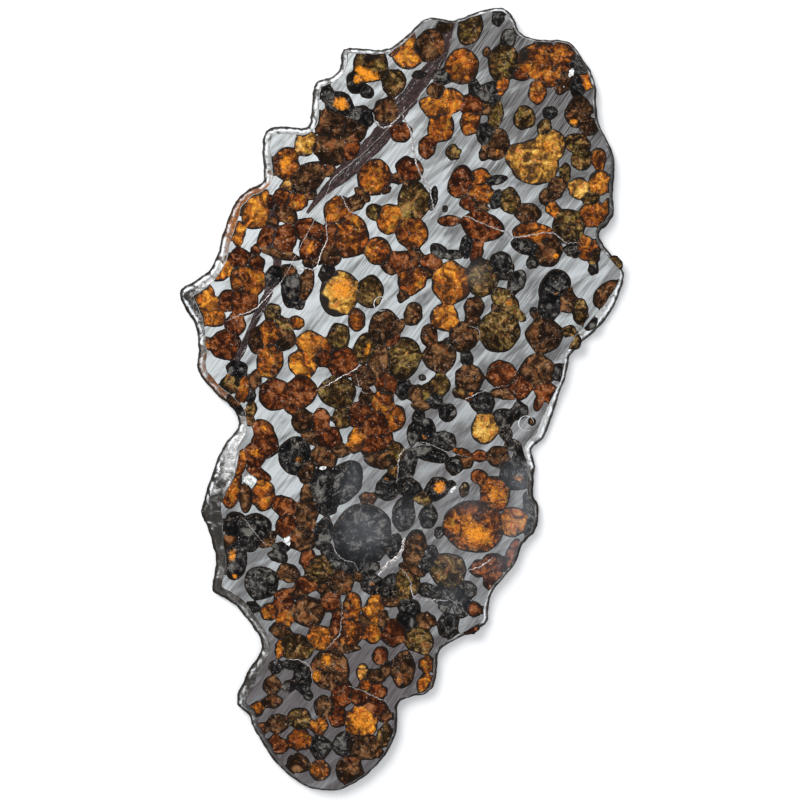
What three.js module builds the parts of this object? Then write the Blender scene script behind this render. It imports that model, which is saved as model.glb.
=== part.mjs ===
// A polished slice of a stony-iron meteorite, lying with its polished face up. A nickel-iron plate with a
// natural, scalloped outer edge holds olivine crystals that pass through its whole thickness. Millimetres,
// +Z up out of the polished face, +Y along the slice towards its broad end, the origin under its middle.
import * as THREE from 'three';

// The slice is as thick as such slices are usually cut. Its edge bulges a little between the two cut faces.
const THICKNESS = 3.2;
const BULGE_HEIGHT = 1.0;
const BACK_INSET = 0.5;

// Each crystal keeps a thin seam to the wall of its pocket.
const SEAM = 0.3;

// The outer outline, read from the photograph, from the top of the broad end and on round its right side.
const OUTLINE = [
  [7.7, 90.7], [10.2, 88.9], [11.7, 86.7], [14.2, 85.8], [18, 86.1], [21.7, 87], [24.4, 86.5], [27.3, 84],
  [30.1, 81.3], [31.8, 78.3], [32.8, 74.7], [34.4, 70.7], [37.3, 67.3], [39.6, 64], [40.6, 60], [41.4, 55.6],
  [42.5, 52], [41.9, 49.3], [40.5, 47], [41.3, 45.1], [44.7, 42.3], [47.6, 39.9], [48.3, 37.9], [48, 33.3],
  [47, 29.3], [44.8, 24.9], [42.3, 21.4], [40.8, 18], [40.9, 13.3], [40.4, 8.7], [40.1, 3.3], [39.3, -1.3],
  [37.4, -4.4], [38.9, -7.3], [39.5, -10.7], [40.2, -14], [41.9, -16.4], [42.8, -19.7], [42.3, -22.8],
  [40.5, -26], [40.3, -29.3], [39, -32.7], [36.8, -37.2], [36.5, -40.5], [37, -44.6], [34, -47.9],
  [30, -51.2], [28.2, -54.2], [28.8, -58.5], [28.9, -61.4], [27.3, -63.9], [24.1, -65.4], [22.1, -67.4],
  [22.7, -70.7], [23.2, -74.2], [22.3, -78.7], [20, -83.3], [16.5, -87.6], [12.5, -90], [8, -90.7],
  [3, -89.5], [-1.5, -87], [-5, -84], [-8.3, -80.6], [-10, -78.2], [-13.1, -76.3], [-13.6, -73.8],
  [-13, -70.5], [-12.3, -67.3], [-10.9, -63.4], [-11.6, -61], [-13.7, -58.7], [-18, -55.4],
  [-21.3, -53.8], [-24.7, -52.9], [-25.3, -49.3], [-25.7, -46], [-27.2, -42.8], [-29.3, -39.3],
  [-31.4, -36.6], [-31.7, -34.4], [-31.5, -30.5], [-31, -24], [-30, -19.8], [-28.3, -16], [-28.6, -13.6],
  [-31, -11.4], [-35.3, -9.1], [-38.6, -6.8], [-40.3, -4.7], [-41, -1], [-41.9, 2], [-43.3, 4.7],
  [-46, 7.4], [-48.3, 10.2], [-47.5, 12.4], [-45, 14.8], [-43, 17.4], [-42.1, 21.3], [-42, 26.6],
  [-41.4, 32], [-40.3, 35.2], [-38.3, 37.7], [-36.2, 39.4], [-36.7, 42.7], [-38, 46.7], [-38.4, 49.7],
  [-37.3, 51.9], [-34, 53], [-31, 53.4], [-29.1, 54.5], [-29.3, 57.3], [-29.8, 60.7], [-30.1, 63.6],
  [-29, 65.1], [-26.7, 66.4], [-25.4, 68.9], [-25.9, 71.7], [-25.2, 73.3], [-22, 74.2], [-18, 74.8],
  [-15.4, 76.1], [-12.7, 79.3], [-10.7, 82.6], [-8.9, 84.5], [-6.3, 85.1], [-3.3, 85.3], [-0.7, 87],
  [2.7, 89.2], [5.3, 90.4],
];

// How far the edge slopes out from the polished face, at places along the outline: x, y, width.
const EDGE_WIDTHS = [
  [7, 90, 0.9], [20, 86, 0.5], [33, 74, 0.5], [41, 57, 0.5], [46, 41, 0.9], [45, 26, 1.6], [40.5, 13, 0.6],
  [39.5, 0, 1.6], [39, -9, 0.7], [42, -20, 0.9], [39, -33, 0.6], [36, -44, 1.0], [29, -56, 0.7],
  [23, -72, 0.6], [12, -89, 0.7], [-8, -80, 1.2], [-12.5, -70, 1.9], [-12, -62, 1.6], [-22, -54, 1.8],
  [-26, -46, 1.5], [-31, -36, 2.4], [-31, -25, 2.6], [-28.5, -15, 1.4], [-36, -8, 1.6], [-42, 2, 1.1],
  [-47.5, 10, 1.8], [-42, 24, 1.3], [-38, 38, 1.0], [-37.5, 48, 1.5], [-29.5, 59, 1.4], [-25.5, 71, 1.2],
  [-14, 78, 0.9], [-4, 85, 0.8],
];
const EDGE_WIDTH_REACH = 5;

const METAL = { color: 0xaeb4ba, roughness: 0.32, metalness: 1 };
const OLIVINE = {
  gold: { color: 0xb98a3c, roughness: 0.2, metalness: 0 },
  amber: { color: 0xc9781c, roughness: 0.18, metalness: 0 },
  orange: { color: 0xa8571a, roughness: 0.2, metalness: 0 },
  red: { color: 0x5f2616, roughness: 0.22, metalness: 0 },
  brown: { color: 0x4f3018, roughness: 0.22, metalness: 0 },
  olive: { color: 0x4a4020, roughness: 0.22, metalness: 0 },
  black: { color: 0x23231f, roughness: 0.2, metalness: 0 },
};

// The largest crystals, from the broad end down: name, tint, then the ellipses that each is grown from, as
// x, y, half length, half width and turn in degrees. Crystals that have grown into each other are one.
const CRYSTALS = [
  ['olivine_orange_top', 'orange', [18, 80.9, 5, 4, 15], [22, 83.4, 2.2, 1.9, 0], [21, 78.2, 2.4, 2.2, -30]],
  ['olivine_olive_top', 'olive', [9.8, 78.6, 2.9, 4, 0]],
  ['olivine_orange_cracked', 'orange', [1.2, 75.5, 3.6, 3.9, 0]],
  ['olivine_olive_upper_left', 'olive', [-6.7, 79, 3, 3.1, 0]],
  ['olivine_amber_lit', 'amber', [-18.6, 69.9, 3.6, 3.2, 0]],
  ['olivine_brown_upper_left', 'brown', [-23.8, 55.9, 3.1, 3.2, 0], [-23, 50.2, 4, 3.2, -10]],
  ['olivine_brown_tilted', 'brown', [-26.2, 42.6, 2.7, 4.1, -35]],
  ['olivine_orange_round', 'orange', [-12, 46.6, 3.6, 4, 0]],
  ['olivine_orange_crescent', 'orange', [-2.8, 64.9, 3.4, 2, -10], [0.8, 67.4, 2.7, 2.7, 30], [0, 61, 2.8, 3.3, 0]],
  ['olivine_gold_large', 'gold', [21.5, 59.2, 5.2, 4.8, -20], [25.2, 62.4, 3.4, 3.8, -20], [23.6, 56.2, 2.9, 2.9, 0]],
  ['olivine_black_upper_right', 'black', [31.2, 64.6, 2.4, 2, 0], [32.4, 61.8, 2.3, 2.4, 0]],
  ['olivine_brown_upper_right', 'brown', [28.6, 71.8, 2.5, 3.2, 0]],
  ['olivine_black_right', 'black', [33.3, 46.3, 3.1, 3.4, 0]],
  ['olivine_olive_long', 'olive', [-2, 43.6, 3.3, 4, 20]],
  ['olivine_orange_centre', 'orange', [-0.4, 36, 3.4, 3, 0]],
  ['olivine_orange_pair', 'orange', [-14.2, 32.2, 4.3, 4.8, 0], [-18, 37.2, 3.1, 3.2, -20]],
  ['olivine_amber_left_edge', 'amber', [-35.2, 33, 2.8, 4, 0]],
  ['olivine_orange_split', 'orange', [14.5, 41.6, 4.7, 3.1, 0]],
  ['olivine_gold_centre', 'gold', [10.7, 27.6, 4.2, 4.5, 0]],
  ['olivine_grey_crumbly', 'olive', [18, 31, 3, 3.8, 0]],
  ['olivine_black_long', 'black', [33.5, 32.2, 3.2, 4.2, -15], [33.4, 28.5, 2.5, 2.9, 10]],
  ['olivine_brown_speckled', 'brown', [33.8, 21, 3.9, 3.7, 0]],
  ['olivine_olive_round', 'olive', [23.8, 19.6, 4.5, 4.6, 0]],
  ['olivine_amber_centre', 'amber', [-13.3, 19.2, 4.1, 5, 0]],
  ['olivine_black_oval', 'black', [-6.3, 21.3, 2.6, 3.6, 0]],
  ['olivine_red_left_pair', 'red', [-33.8, 17, 3.8, 3.4, 0], [-33.6, 12.2, 3.2, 2.9, 0]],
  ['olivine_amber_tip', 'amber', [-41.6, 10.9, 1.9, 2.4, 0], [-39.3, 7.4, 2.3, 2.2, 0], [-40.4, 9.2, 2.1, 2.2, 0]],
  ['olivine_brown_left', 'brown', [-35.3, 1.8, 3.4, 3.2, 0]],
  ['olivine_brown_pair', 'brown', [8.8, 14.9, 1.9, 2.6, 10], [12.2, 10.8, 3.6, 3.3, 0]],
  ['olivine_brown_tall', 'brown', [4.3, 8.6, 3.4, 4.6, 0]],
  ['olivine_brown_centre', 'brown', [-1.7, 14.4, 3.1, 3.8, 0]],
  ['olivine_red_right', 'red', [34.2, 13, 3.6, 3.4, 0]],
  ['olivine_orange_right', 'orange', [26.6, 10.4, 3.2, 3, 0]],
  ['olivine_red_left', 'red', [-22.1, -6.4, 3.1, 3.5, 0]],
  ['olivine_red_middle', 'red', [-15.8, -4.2, 3.1, 3.1, 0]],
  ['olivine_amber_pair', 'amber', [-17.3, 2.4, 3.1, 2.6, 0], [-16.9, 6.9, 2.7, 2.6, 0]],
  ['olivine_olive_middle', 'olive', [-8.2, -2.6, 3.9, 3.2, 10]],
  ['olivine_red_dark', 'red', [-8.6, 4.4, 3.1, 3.2, 0]],
  ['olivine_orange_chain', 'orange', [-22.4, -14.6, 2.4, 2, 0], [-21.3, -17.6, 2.9, 3.4, 10], [-22.6, -20.5, 2.4, 2.6, 0]],
  ['olivine_black_left', 'black', [-14.2, -18.6, 3.3, 4.1, 0]],
  ['olivine_gold_disc', 'gold', [25.9, -2.4, 2.9, 3.3, 0]],
  ['olivine_black_cluster', 'black', [-1.6, -21.6, 3.4, 5, -15], [-6.4, -23.2, 2.6, 3.6, 0], [-4.4, -27.4, 2.4, 2.4, 0]],
  ['olivine_black_large', 'black', [5.2, -32.4, 6.1, 6.8, 0]],
  ['olivine_orange_large', 'orange', [28.8, -24.4, 6.7, 5.6, 0], [31.7, -16, 3.1, 3.8, 25]],
  ['olivine_black_lower_left', 'black', [-18.6, -36.4, 3.2, 3, 0], [-19.2, -39.4, 2.1, 2, 0]],
  ['olivine_amber_flecked', 'olive', [-21.1, -45.2, 2.2, 3.7, 10]],
  ['olivine_black_lower', 'black', [-14.4, -48.2, 3.5, 3.6, 0]],
  ['olivine_black_lower_right', 'black', [25.6, -35.2, 3.9, 3.8, 0]],
  ['olivine_olive_lower_right', 'olive', [17.2, -40.6, 2.8, 3.2, 0]],
  ['olivine_brown_lower', 'brown', [-2.6, -52, 3.4, 3.2, 0]],
  ['olivine_olive_low_centre', 'olive', [-3.4, -60.4, 3.5, 2.8, 0]],
  ['olivine_amber_cored', 'amber', [5.2, -63.5, 4.3, 4.3, 0]],
  ['olivine_black_low_right', 'black', [21.2, -59.4, 2.5, 4.1, 10]],
  ['olivine_amber_bottom', 'amber', [14.8, -73, 3.5, 3.1, 0]],
  ['olivine_brown_bottom', 'brown', [16.4, -79.2, 3.3, 2.6, 0]],
];

// A crystal has this many sides, and more for each ellipse past its first. Low waves make its outline uneven,
// and its walls lean a little, by an amount that changes from crystal to crystal with its phase.
const FIRST_SIDES = 12;
const MORE_SIDES = 4;
const LUMPS = [[3, 0.035], [5, 0.02]];
const WALL_LEAN = 0.045;
const PHASE_STEP = 2.4;

// The width of the sloping edge at a point, blended from the places where it was read.
function edgeWidth(point) {
  let total = 0;
  let weights = 0;
  for (const [x, y, width] of EDGE_WIDTHS) {
    const distance = Math.hypot(point.x - x, point.y - y) / EDGE_WIDTH_REACH;
    const weight = Math.exp(-distance);
    total += weight * width;
    weights += weight;
  }
  return total / weights;
}

// The outline moved inwards, square to the line between each point's two neighbours.
function insetOutline(outline, widthAt) {
  return outline.map((point, place) => {
    const before = outline[(place + outline.length - 1) % outline.length];
    const after = outline[(place + 1) % outline.length];
    const along = after.clone().sub(before).normalize();
    const width = widthAt(point);
    return new THREE.Vector2(point.x - along.y * width, point.y + along.x * width);
  });
}

// How far a ray from a centre runs before it leaves an ellipse for good, or 0 where it misses.
function rayLength(centre, angle, [x, y, halfLength, halfWidth, turn]) {
  const tilt = THREE.MathUtils.degToRad(turn);
  const origin = new THREE.Vector2(centre.x - x, centre.y - y).rotateAround(new THREE.Vector2(), -tilt);
  const start = new THREE.Vector2(origin.x / halfLength, origin.y / halfWidth);
  const step = new THREE.Vector2(Math.cos(angle - tilt) / halfLength, Math.sin(angle - tilt) / halfWidth);
  const a = step.lengthSq();
  const b = start.dot(step);
  const root = b * b - a * (start.lengthSq() - 1);
  return root > 0 ? Math.max(0, (Math.sqrt(root) - b) / a) : 0;
}

// A crystal's outline at a height, grown by a margin: the outermost of its ellipses along each ray.
function crystalRing(lobes, place, growth, z) {
  const areas = lobes.map(([, , halfLength, halfWidth]) => halfLength * halfWidth);
  const area = areas.reduce((sum, next) => sum + next);
  const centre = new THREE.Vector2();
  lobes.forEach(([x, y], lobe) => centre.add(new THREE.Vector2(x, y).multiplyScalar(areas[lobe] / area)));
  const sides = FIRST_SIDES + MORE_SIDES * (lobes.length - 1);
  const phase = PHASE_STEP * place;
  const lean = 1 + WALL_LEAN * Math.sin(phase) * (z / THICKNESS - 0.5);
  return Array.from({ length: sides }, (_, side) => {
    const angle = 2 * Math.PI * side / sides;
    const lumps = LUMPS.reduce((sum, [waves, height]) => sum + height * Math.sin(waves * angle + phase), 1);
    const reach = Math.max(...lobes.map((lobe) => rayLength(centre, angle, lobe)));
    const radius = reach * lumps * lean + growth;
    return new THREE.Vector2(centre.x + radius * Math.cos(angle), centre.y + radius * Math.sin(angle));
  });
}

// Joins stacks of rings into one closed geometry. The first stack is the outside, and each other one a hole
// right through it. A stack's rings run counter-clockwise, lowest first, at the heights given for the stack.
function loft(stacks) {
  const position = [];
  const index = [];
  const firstOf = [];
  stacks.forEach(({ heights, rings }, stack) => {
    const first = position.length / 3;
    firstOf.push(first);
    rings.forEach((ring, level) => ring.forEach(({ x, y }) => position.push(x, y, heights[level])));
    for (let level = 0; level < rings.length - 1; level += 1) {
      const count = rings[level].length;
      for (let corner = 0; corner < count; corner += 1) {
        const here = first + level * count + corner;
        const next = first + level * count + (corner + 1) % count;
        const wall = [here, next, next + count, here, next + count, here + count];
        index.push(...(stack === 0 ? wall : wall.reverse()));
      }
    }
  });
  for (const top of [false, true]) {
    const faces = stacks.map(({ rings }) => rings[top ? rings.length - 1 : 0]);
    const corners = stacks.flatMap(({ rings }, stack) => {
      const skip = top ? (rings.length - 1) * rings[0].length : 0;
      return rings[0].map((_, corner) => firstOf[stack] + skip + corner);
    });
    for (const triangle of THREE.ShapeUtils.triangulateShape(faces[0], faces.slice(1))) {
      const [a, b, c] = triangle.map((corner) => corners[corner]);
      index.push(...(top ? [a, b, c] : [a, c, b]));
    }
  }
  const geometry = new THREE.BufferGeometry();
  geometry.setAttribute('position', new THREE.Float32BufferAttribute(position, 3));
  geometry.setIndex(index);
  geometry.computeVertexNormals();
  return geometry;
}

function crystalStack(lobes, place, growth) {
  const heights = [0, THICKNESS];
  return { heights, rings: heights.map((z) => crystalRing(lobes, place, growth, z)) };
}

function edgeStack() {
  const outline = OUTLINE.map(([x, y]) => new THREE.Vector2(x, y)).reverse();
  const heights = [0, BULGE_HEIGHT, THICKNESS];
  return { heights, rings: [insetOutline(outline, () => BACK_INSET), outline, insetOutline(outline, edgeWidth)] };
}

function piece(name, stacks, finish) {
  const mesh = new THREE.Mesh(loft(stacks), new THREE.MeshStandardMaterial(finish));
  mesh.name = name;
  return mesh;
}

const slice = new THREE.Group();
const pockets = CRYSTALS.map(([, , ...lobes], place) => crystalStack(lobes, place, SEAM / 2));
slice.add(piece('nickel_iron_plate', [edgeStack(), ...pockets], METAL));
CRYSTALS.forEach(([name, tint, ...lobes], place) => {
  slice.add(piece(name, [crystalStack(lobes, place, -SEAM / 2)], OLIVINE[tint]));
});

export default slice;
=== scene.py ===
"""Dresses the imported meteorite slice: its sawn and polished nickel-iron plate, the natural edge round it, the
olivine crystals right through it, the iron sulphide bands and the thin bright veins. Read sizes are in mm."""
import bpy
import numpy as np
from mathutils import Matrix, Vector
from mathutils.geometry import delaunay_2d_cdt


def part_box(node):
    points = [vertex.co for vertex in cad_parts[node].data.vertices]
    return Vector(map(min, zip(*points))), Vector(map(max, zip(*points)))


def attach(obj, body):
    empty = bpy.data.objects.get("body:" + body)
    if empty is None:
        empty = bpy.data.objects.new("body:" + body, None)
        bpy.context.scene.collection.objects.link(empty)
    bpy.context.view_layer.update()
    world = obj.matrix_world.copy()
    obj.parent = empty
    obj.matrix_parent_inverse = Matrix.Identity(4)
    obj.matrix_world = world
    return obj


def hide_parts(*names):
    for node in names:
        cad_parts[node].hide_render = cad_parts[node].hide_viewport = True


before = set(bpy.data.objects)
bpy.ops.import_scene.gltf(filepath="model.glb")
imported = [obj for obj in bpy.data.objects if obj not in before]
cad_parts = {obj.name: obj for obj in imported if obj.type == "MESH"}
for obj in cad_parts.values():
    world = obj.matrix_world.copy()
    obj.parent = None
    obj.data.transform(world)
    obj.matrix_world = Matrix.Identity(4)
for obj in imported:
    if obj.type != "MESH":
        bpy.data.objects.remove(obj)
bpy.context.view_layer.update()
MM = 0.001

# The outline of the slice. The stone was broken along its own crystals, so its edge runs in scallops
# between sharp tips. The back is the widest cut, and the edge slopes in from it to the polished face.
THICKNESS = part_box("nickel_iron_plate")[1][2] / MM
OUTLINE = np.array([
    7.7, 90.7, 10.2, 88.9, 11.7, 86.7, 14.2, 85.8, 18, 86.1, 21.7, 87, 24.4, 86.5, 27.3, 84, 30.1, 81.3,
    31.8, 78.3, 32.8, 74.7, 34.4, 70.7, 37.3, 67.3, 39.6, 64, 40.6, 60, 41.4, 55.6, 42.5, 52,
    41.9, 49.3, 40.5, 47, 41.3, 45.1, 44.7, 42.3, 47.6, 39.9, 48.3, 37.9, 48, 33.3, 47, 29.3,
    44.8, 24.9, 42.3, 21.4, 40.8, 18, 40.9, 13.3, 40.4, 8.7, 40.1, 3.3, 39.3, -1.3, 37.4, -4.4,
    38.9, -7.3, 39.5, -10.7, 40.2, -14, 41.9, -16.4, 42.8, -19.7, 42.3, -22.8, 40.5, -26, 40.3, -29.3,
    39, -32.7, 36.8, -37.2, 36.5, -40.5, 37, -44.6, 34, -47.9, 30, -51.2, 28.2, -54.2, 28.8, -58.5,
    28.9, -61.4, 27.3, -63.9, 24.1, -65.4, 22.1, -67.4, 22.7, -70.7, 23.2, -74.2, 22.3, -78.7,
    20, -83.3, 16.5, -87.6, 12.5, -90, 8, -90.7, 3, -89.5, -1.5, -87, -5, -84, -8.3, -80.6, -10, -78.2,
    -13.1, -76.3, -13.6, -73.8, -13, -70.5, -12.3, -67.3, -10.9, -63.4, -11.6, -61, -13.7, -58.7,
    -18, -55.4, -21.3, -53.8, -24.7, -52.9, -25.3, -49.3, -25.7, -46, -27.2, -42.8, -29.3, -39.3,
    -31.4, -36.6, -31.7, -34.4, -31.5, -30.5, -31, -24, -30, -19.8, -28.3, -16, -28.6, -13.6,
    -31, -11.4, -35.3, -9.1, -38.6, -6.8, -40.3, -4.7, -41, -1, -41.9, 2, -43.3, 4.7, -46, 7.4,
    -48.2, 10.2, -47.5, 12.4, -45, 14.8, -43, 17.4, -42.1, 21.3, -42, 26.6, -41.4, 32, -40.3, 35.2,
    -38.3, 37.7, -36.2, 39.4, -36.7, 42.7, -38, 46.7, -38.4, 49.7, -37.3, 51.9, -34, 53, -31, 53.4,
    -29.1, 54.5, -29.3, 57.3, -29.8, 60.7, -30.1, 63.6, -29, 65.1, -26.7, 66.4, -25.4, 68.9,
    -25.9, 71.7, -25.2, 73.3, -22, 74.2, -18, 74.8, -15.4, 76.1, -12.7, 79.3, -10.7, 82.6, -8.9, 84.5,
    -6.3, 85.1, -3.3, 85.3, -0.7, 87, 2.7, 89.2, 5.3, 90.4,
]).reshape(-1, 2)
# Places along the outline as read, and how wide the sloping edge is there.
EDGE_WIDTHS = np.array([
    [7, 90, 1.1], [20, 86, 0.8], [33, 74, 0.9], [41, 57, 1.0], [46, 41, 1.0], [45, 26, 2.6], [40.5, 13, 0.8],
    [39.5, 0, 2.4], [38.5, -6, 1.6], [42, -20, 1.0], [39, -33, 0.7], [36, -44, 1.2], [29, -56, 0.8],
    [23, -72, 0.7], [12, -89, 0.8], [-8, -80, 1.4], [-12.5, -70, 2.8], [-12, -62, 1.8], [-22, -54, 2.2],
    [-26, -46, 2.2], [-31, -36, 4.4], [-31, -25, 5.2], [-28.5, -15, 1.8], [-36, -8, 2.0], [-42, 2, 1.8],
    [-47.5, 10, 3.2], [-42, 24, 2.3], [-38, 38, 1.9], [-37.5, 48, 2.0], [-29.5, 59, 1.7], [-25.5, 71, 1.6],
    [-14, 78, 1.0], [-4, 85, 0.9],
])
EDGE_WIDTH_REACH = 4
EDGE_STEPS = 6
BACK_INSET = 0.5
OUTLINE_RIPPLE = 0.1
OUTLINE_WAVES = (60, 260)
OUTLINE_SEED = 3
WIDTH_RIPPLE = 0.1
WIDTH_WAVES = (20, 120)
WIDTH_SEED = 4


def cubic_between(before, here, after, beyond, steps):
    """Catmull-Rom's cubic of t from each point to the next, in equal steps of t: half of 2 here, plus
    (after - before) t, plus (2 before - 5 here + 4 after - beyond) t^2, plus (3 here - before - 3 after +
    beyond) t^3."""
    t = (np.arange(steps) / steps)[:, None]
    curve = 2 * here + (after - before) * t + (2 * before - 5 * here + 4 * after - beyond) * t ** 2
    curve = curve + (3 * here - before - 3 * after + beyond) * t ** 3
    return (curve / 2).reshape(-1, here.shape[-1])


def smooth_loop(points, steps):
    """The closed curve through the points, made of cubics."""
    return cubic_between(*(np.roll(points, shift, 0)[:, None] for shift in (1, 0, -1, -2)), steps)


def ripple(along, waves, seed, count=24):
    """A seeded sum of sines of the place along a closed loop (0 to 1), each lower the more waves it has."""
    chance = np.random.default_rng(seed)
    wave = chance.integers(waves[0], waves[1], count)[:, None]
    phase = chance.uniform(0, 2 * np.pi, count)[:, None]
    return (np.sin(2 * np.pi * wave * along + phase) * np.sqrt(waves[0] / wave)).sum(0) / np.sqrt(count)


def inward(loop):
    """The unit vectors square to the line between each point's two neighbours. They point into a loop that
    runs counter-clockwise."""
    along = np.roll(loop, -1, 0) - np.roll(loop, 1, 0)
    along /= np.linalg.norm(along, axis=1)[:, None]
    return np.stack([-along[:, 1], along[:, 0]], 1)


def blended(points, places, reach):
    """The mean of the values in the places' last columns, weighted by exp(-distance / reach)."""
    distance = np.linalg.norm(points[:, None] - places[None, :, :2], axis=2)
    weight = np.exp(-distance / reach)
    return weight @ places[:, 2:] / weight.sum(1)[:, None]


widest = smooth_loop(OUTLINE[::-1], EDGE_STEPS)
around = np.arange(len(widest)) / len(widest)
widest = widest + inward(widest) * (OUTLINE_RIPPLE * ripple(around, OUTLINE_WAVES, OUTLINE_SEED))[:, None]
edge_width = blended(widest, EDGE_WIDTHS, EDGE_WIDTH_REACH)[:, 0]
edge_width = edge_width * (1 + WIDTH_RIPPLE * ripple(around, WIDTH_WAVES, WIDTH_SEED))
front_edge = widest + inward(widest) * edge_width[:, None]
back_edge = widest + inward(widest) * BACK_INSET

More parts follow.
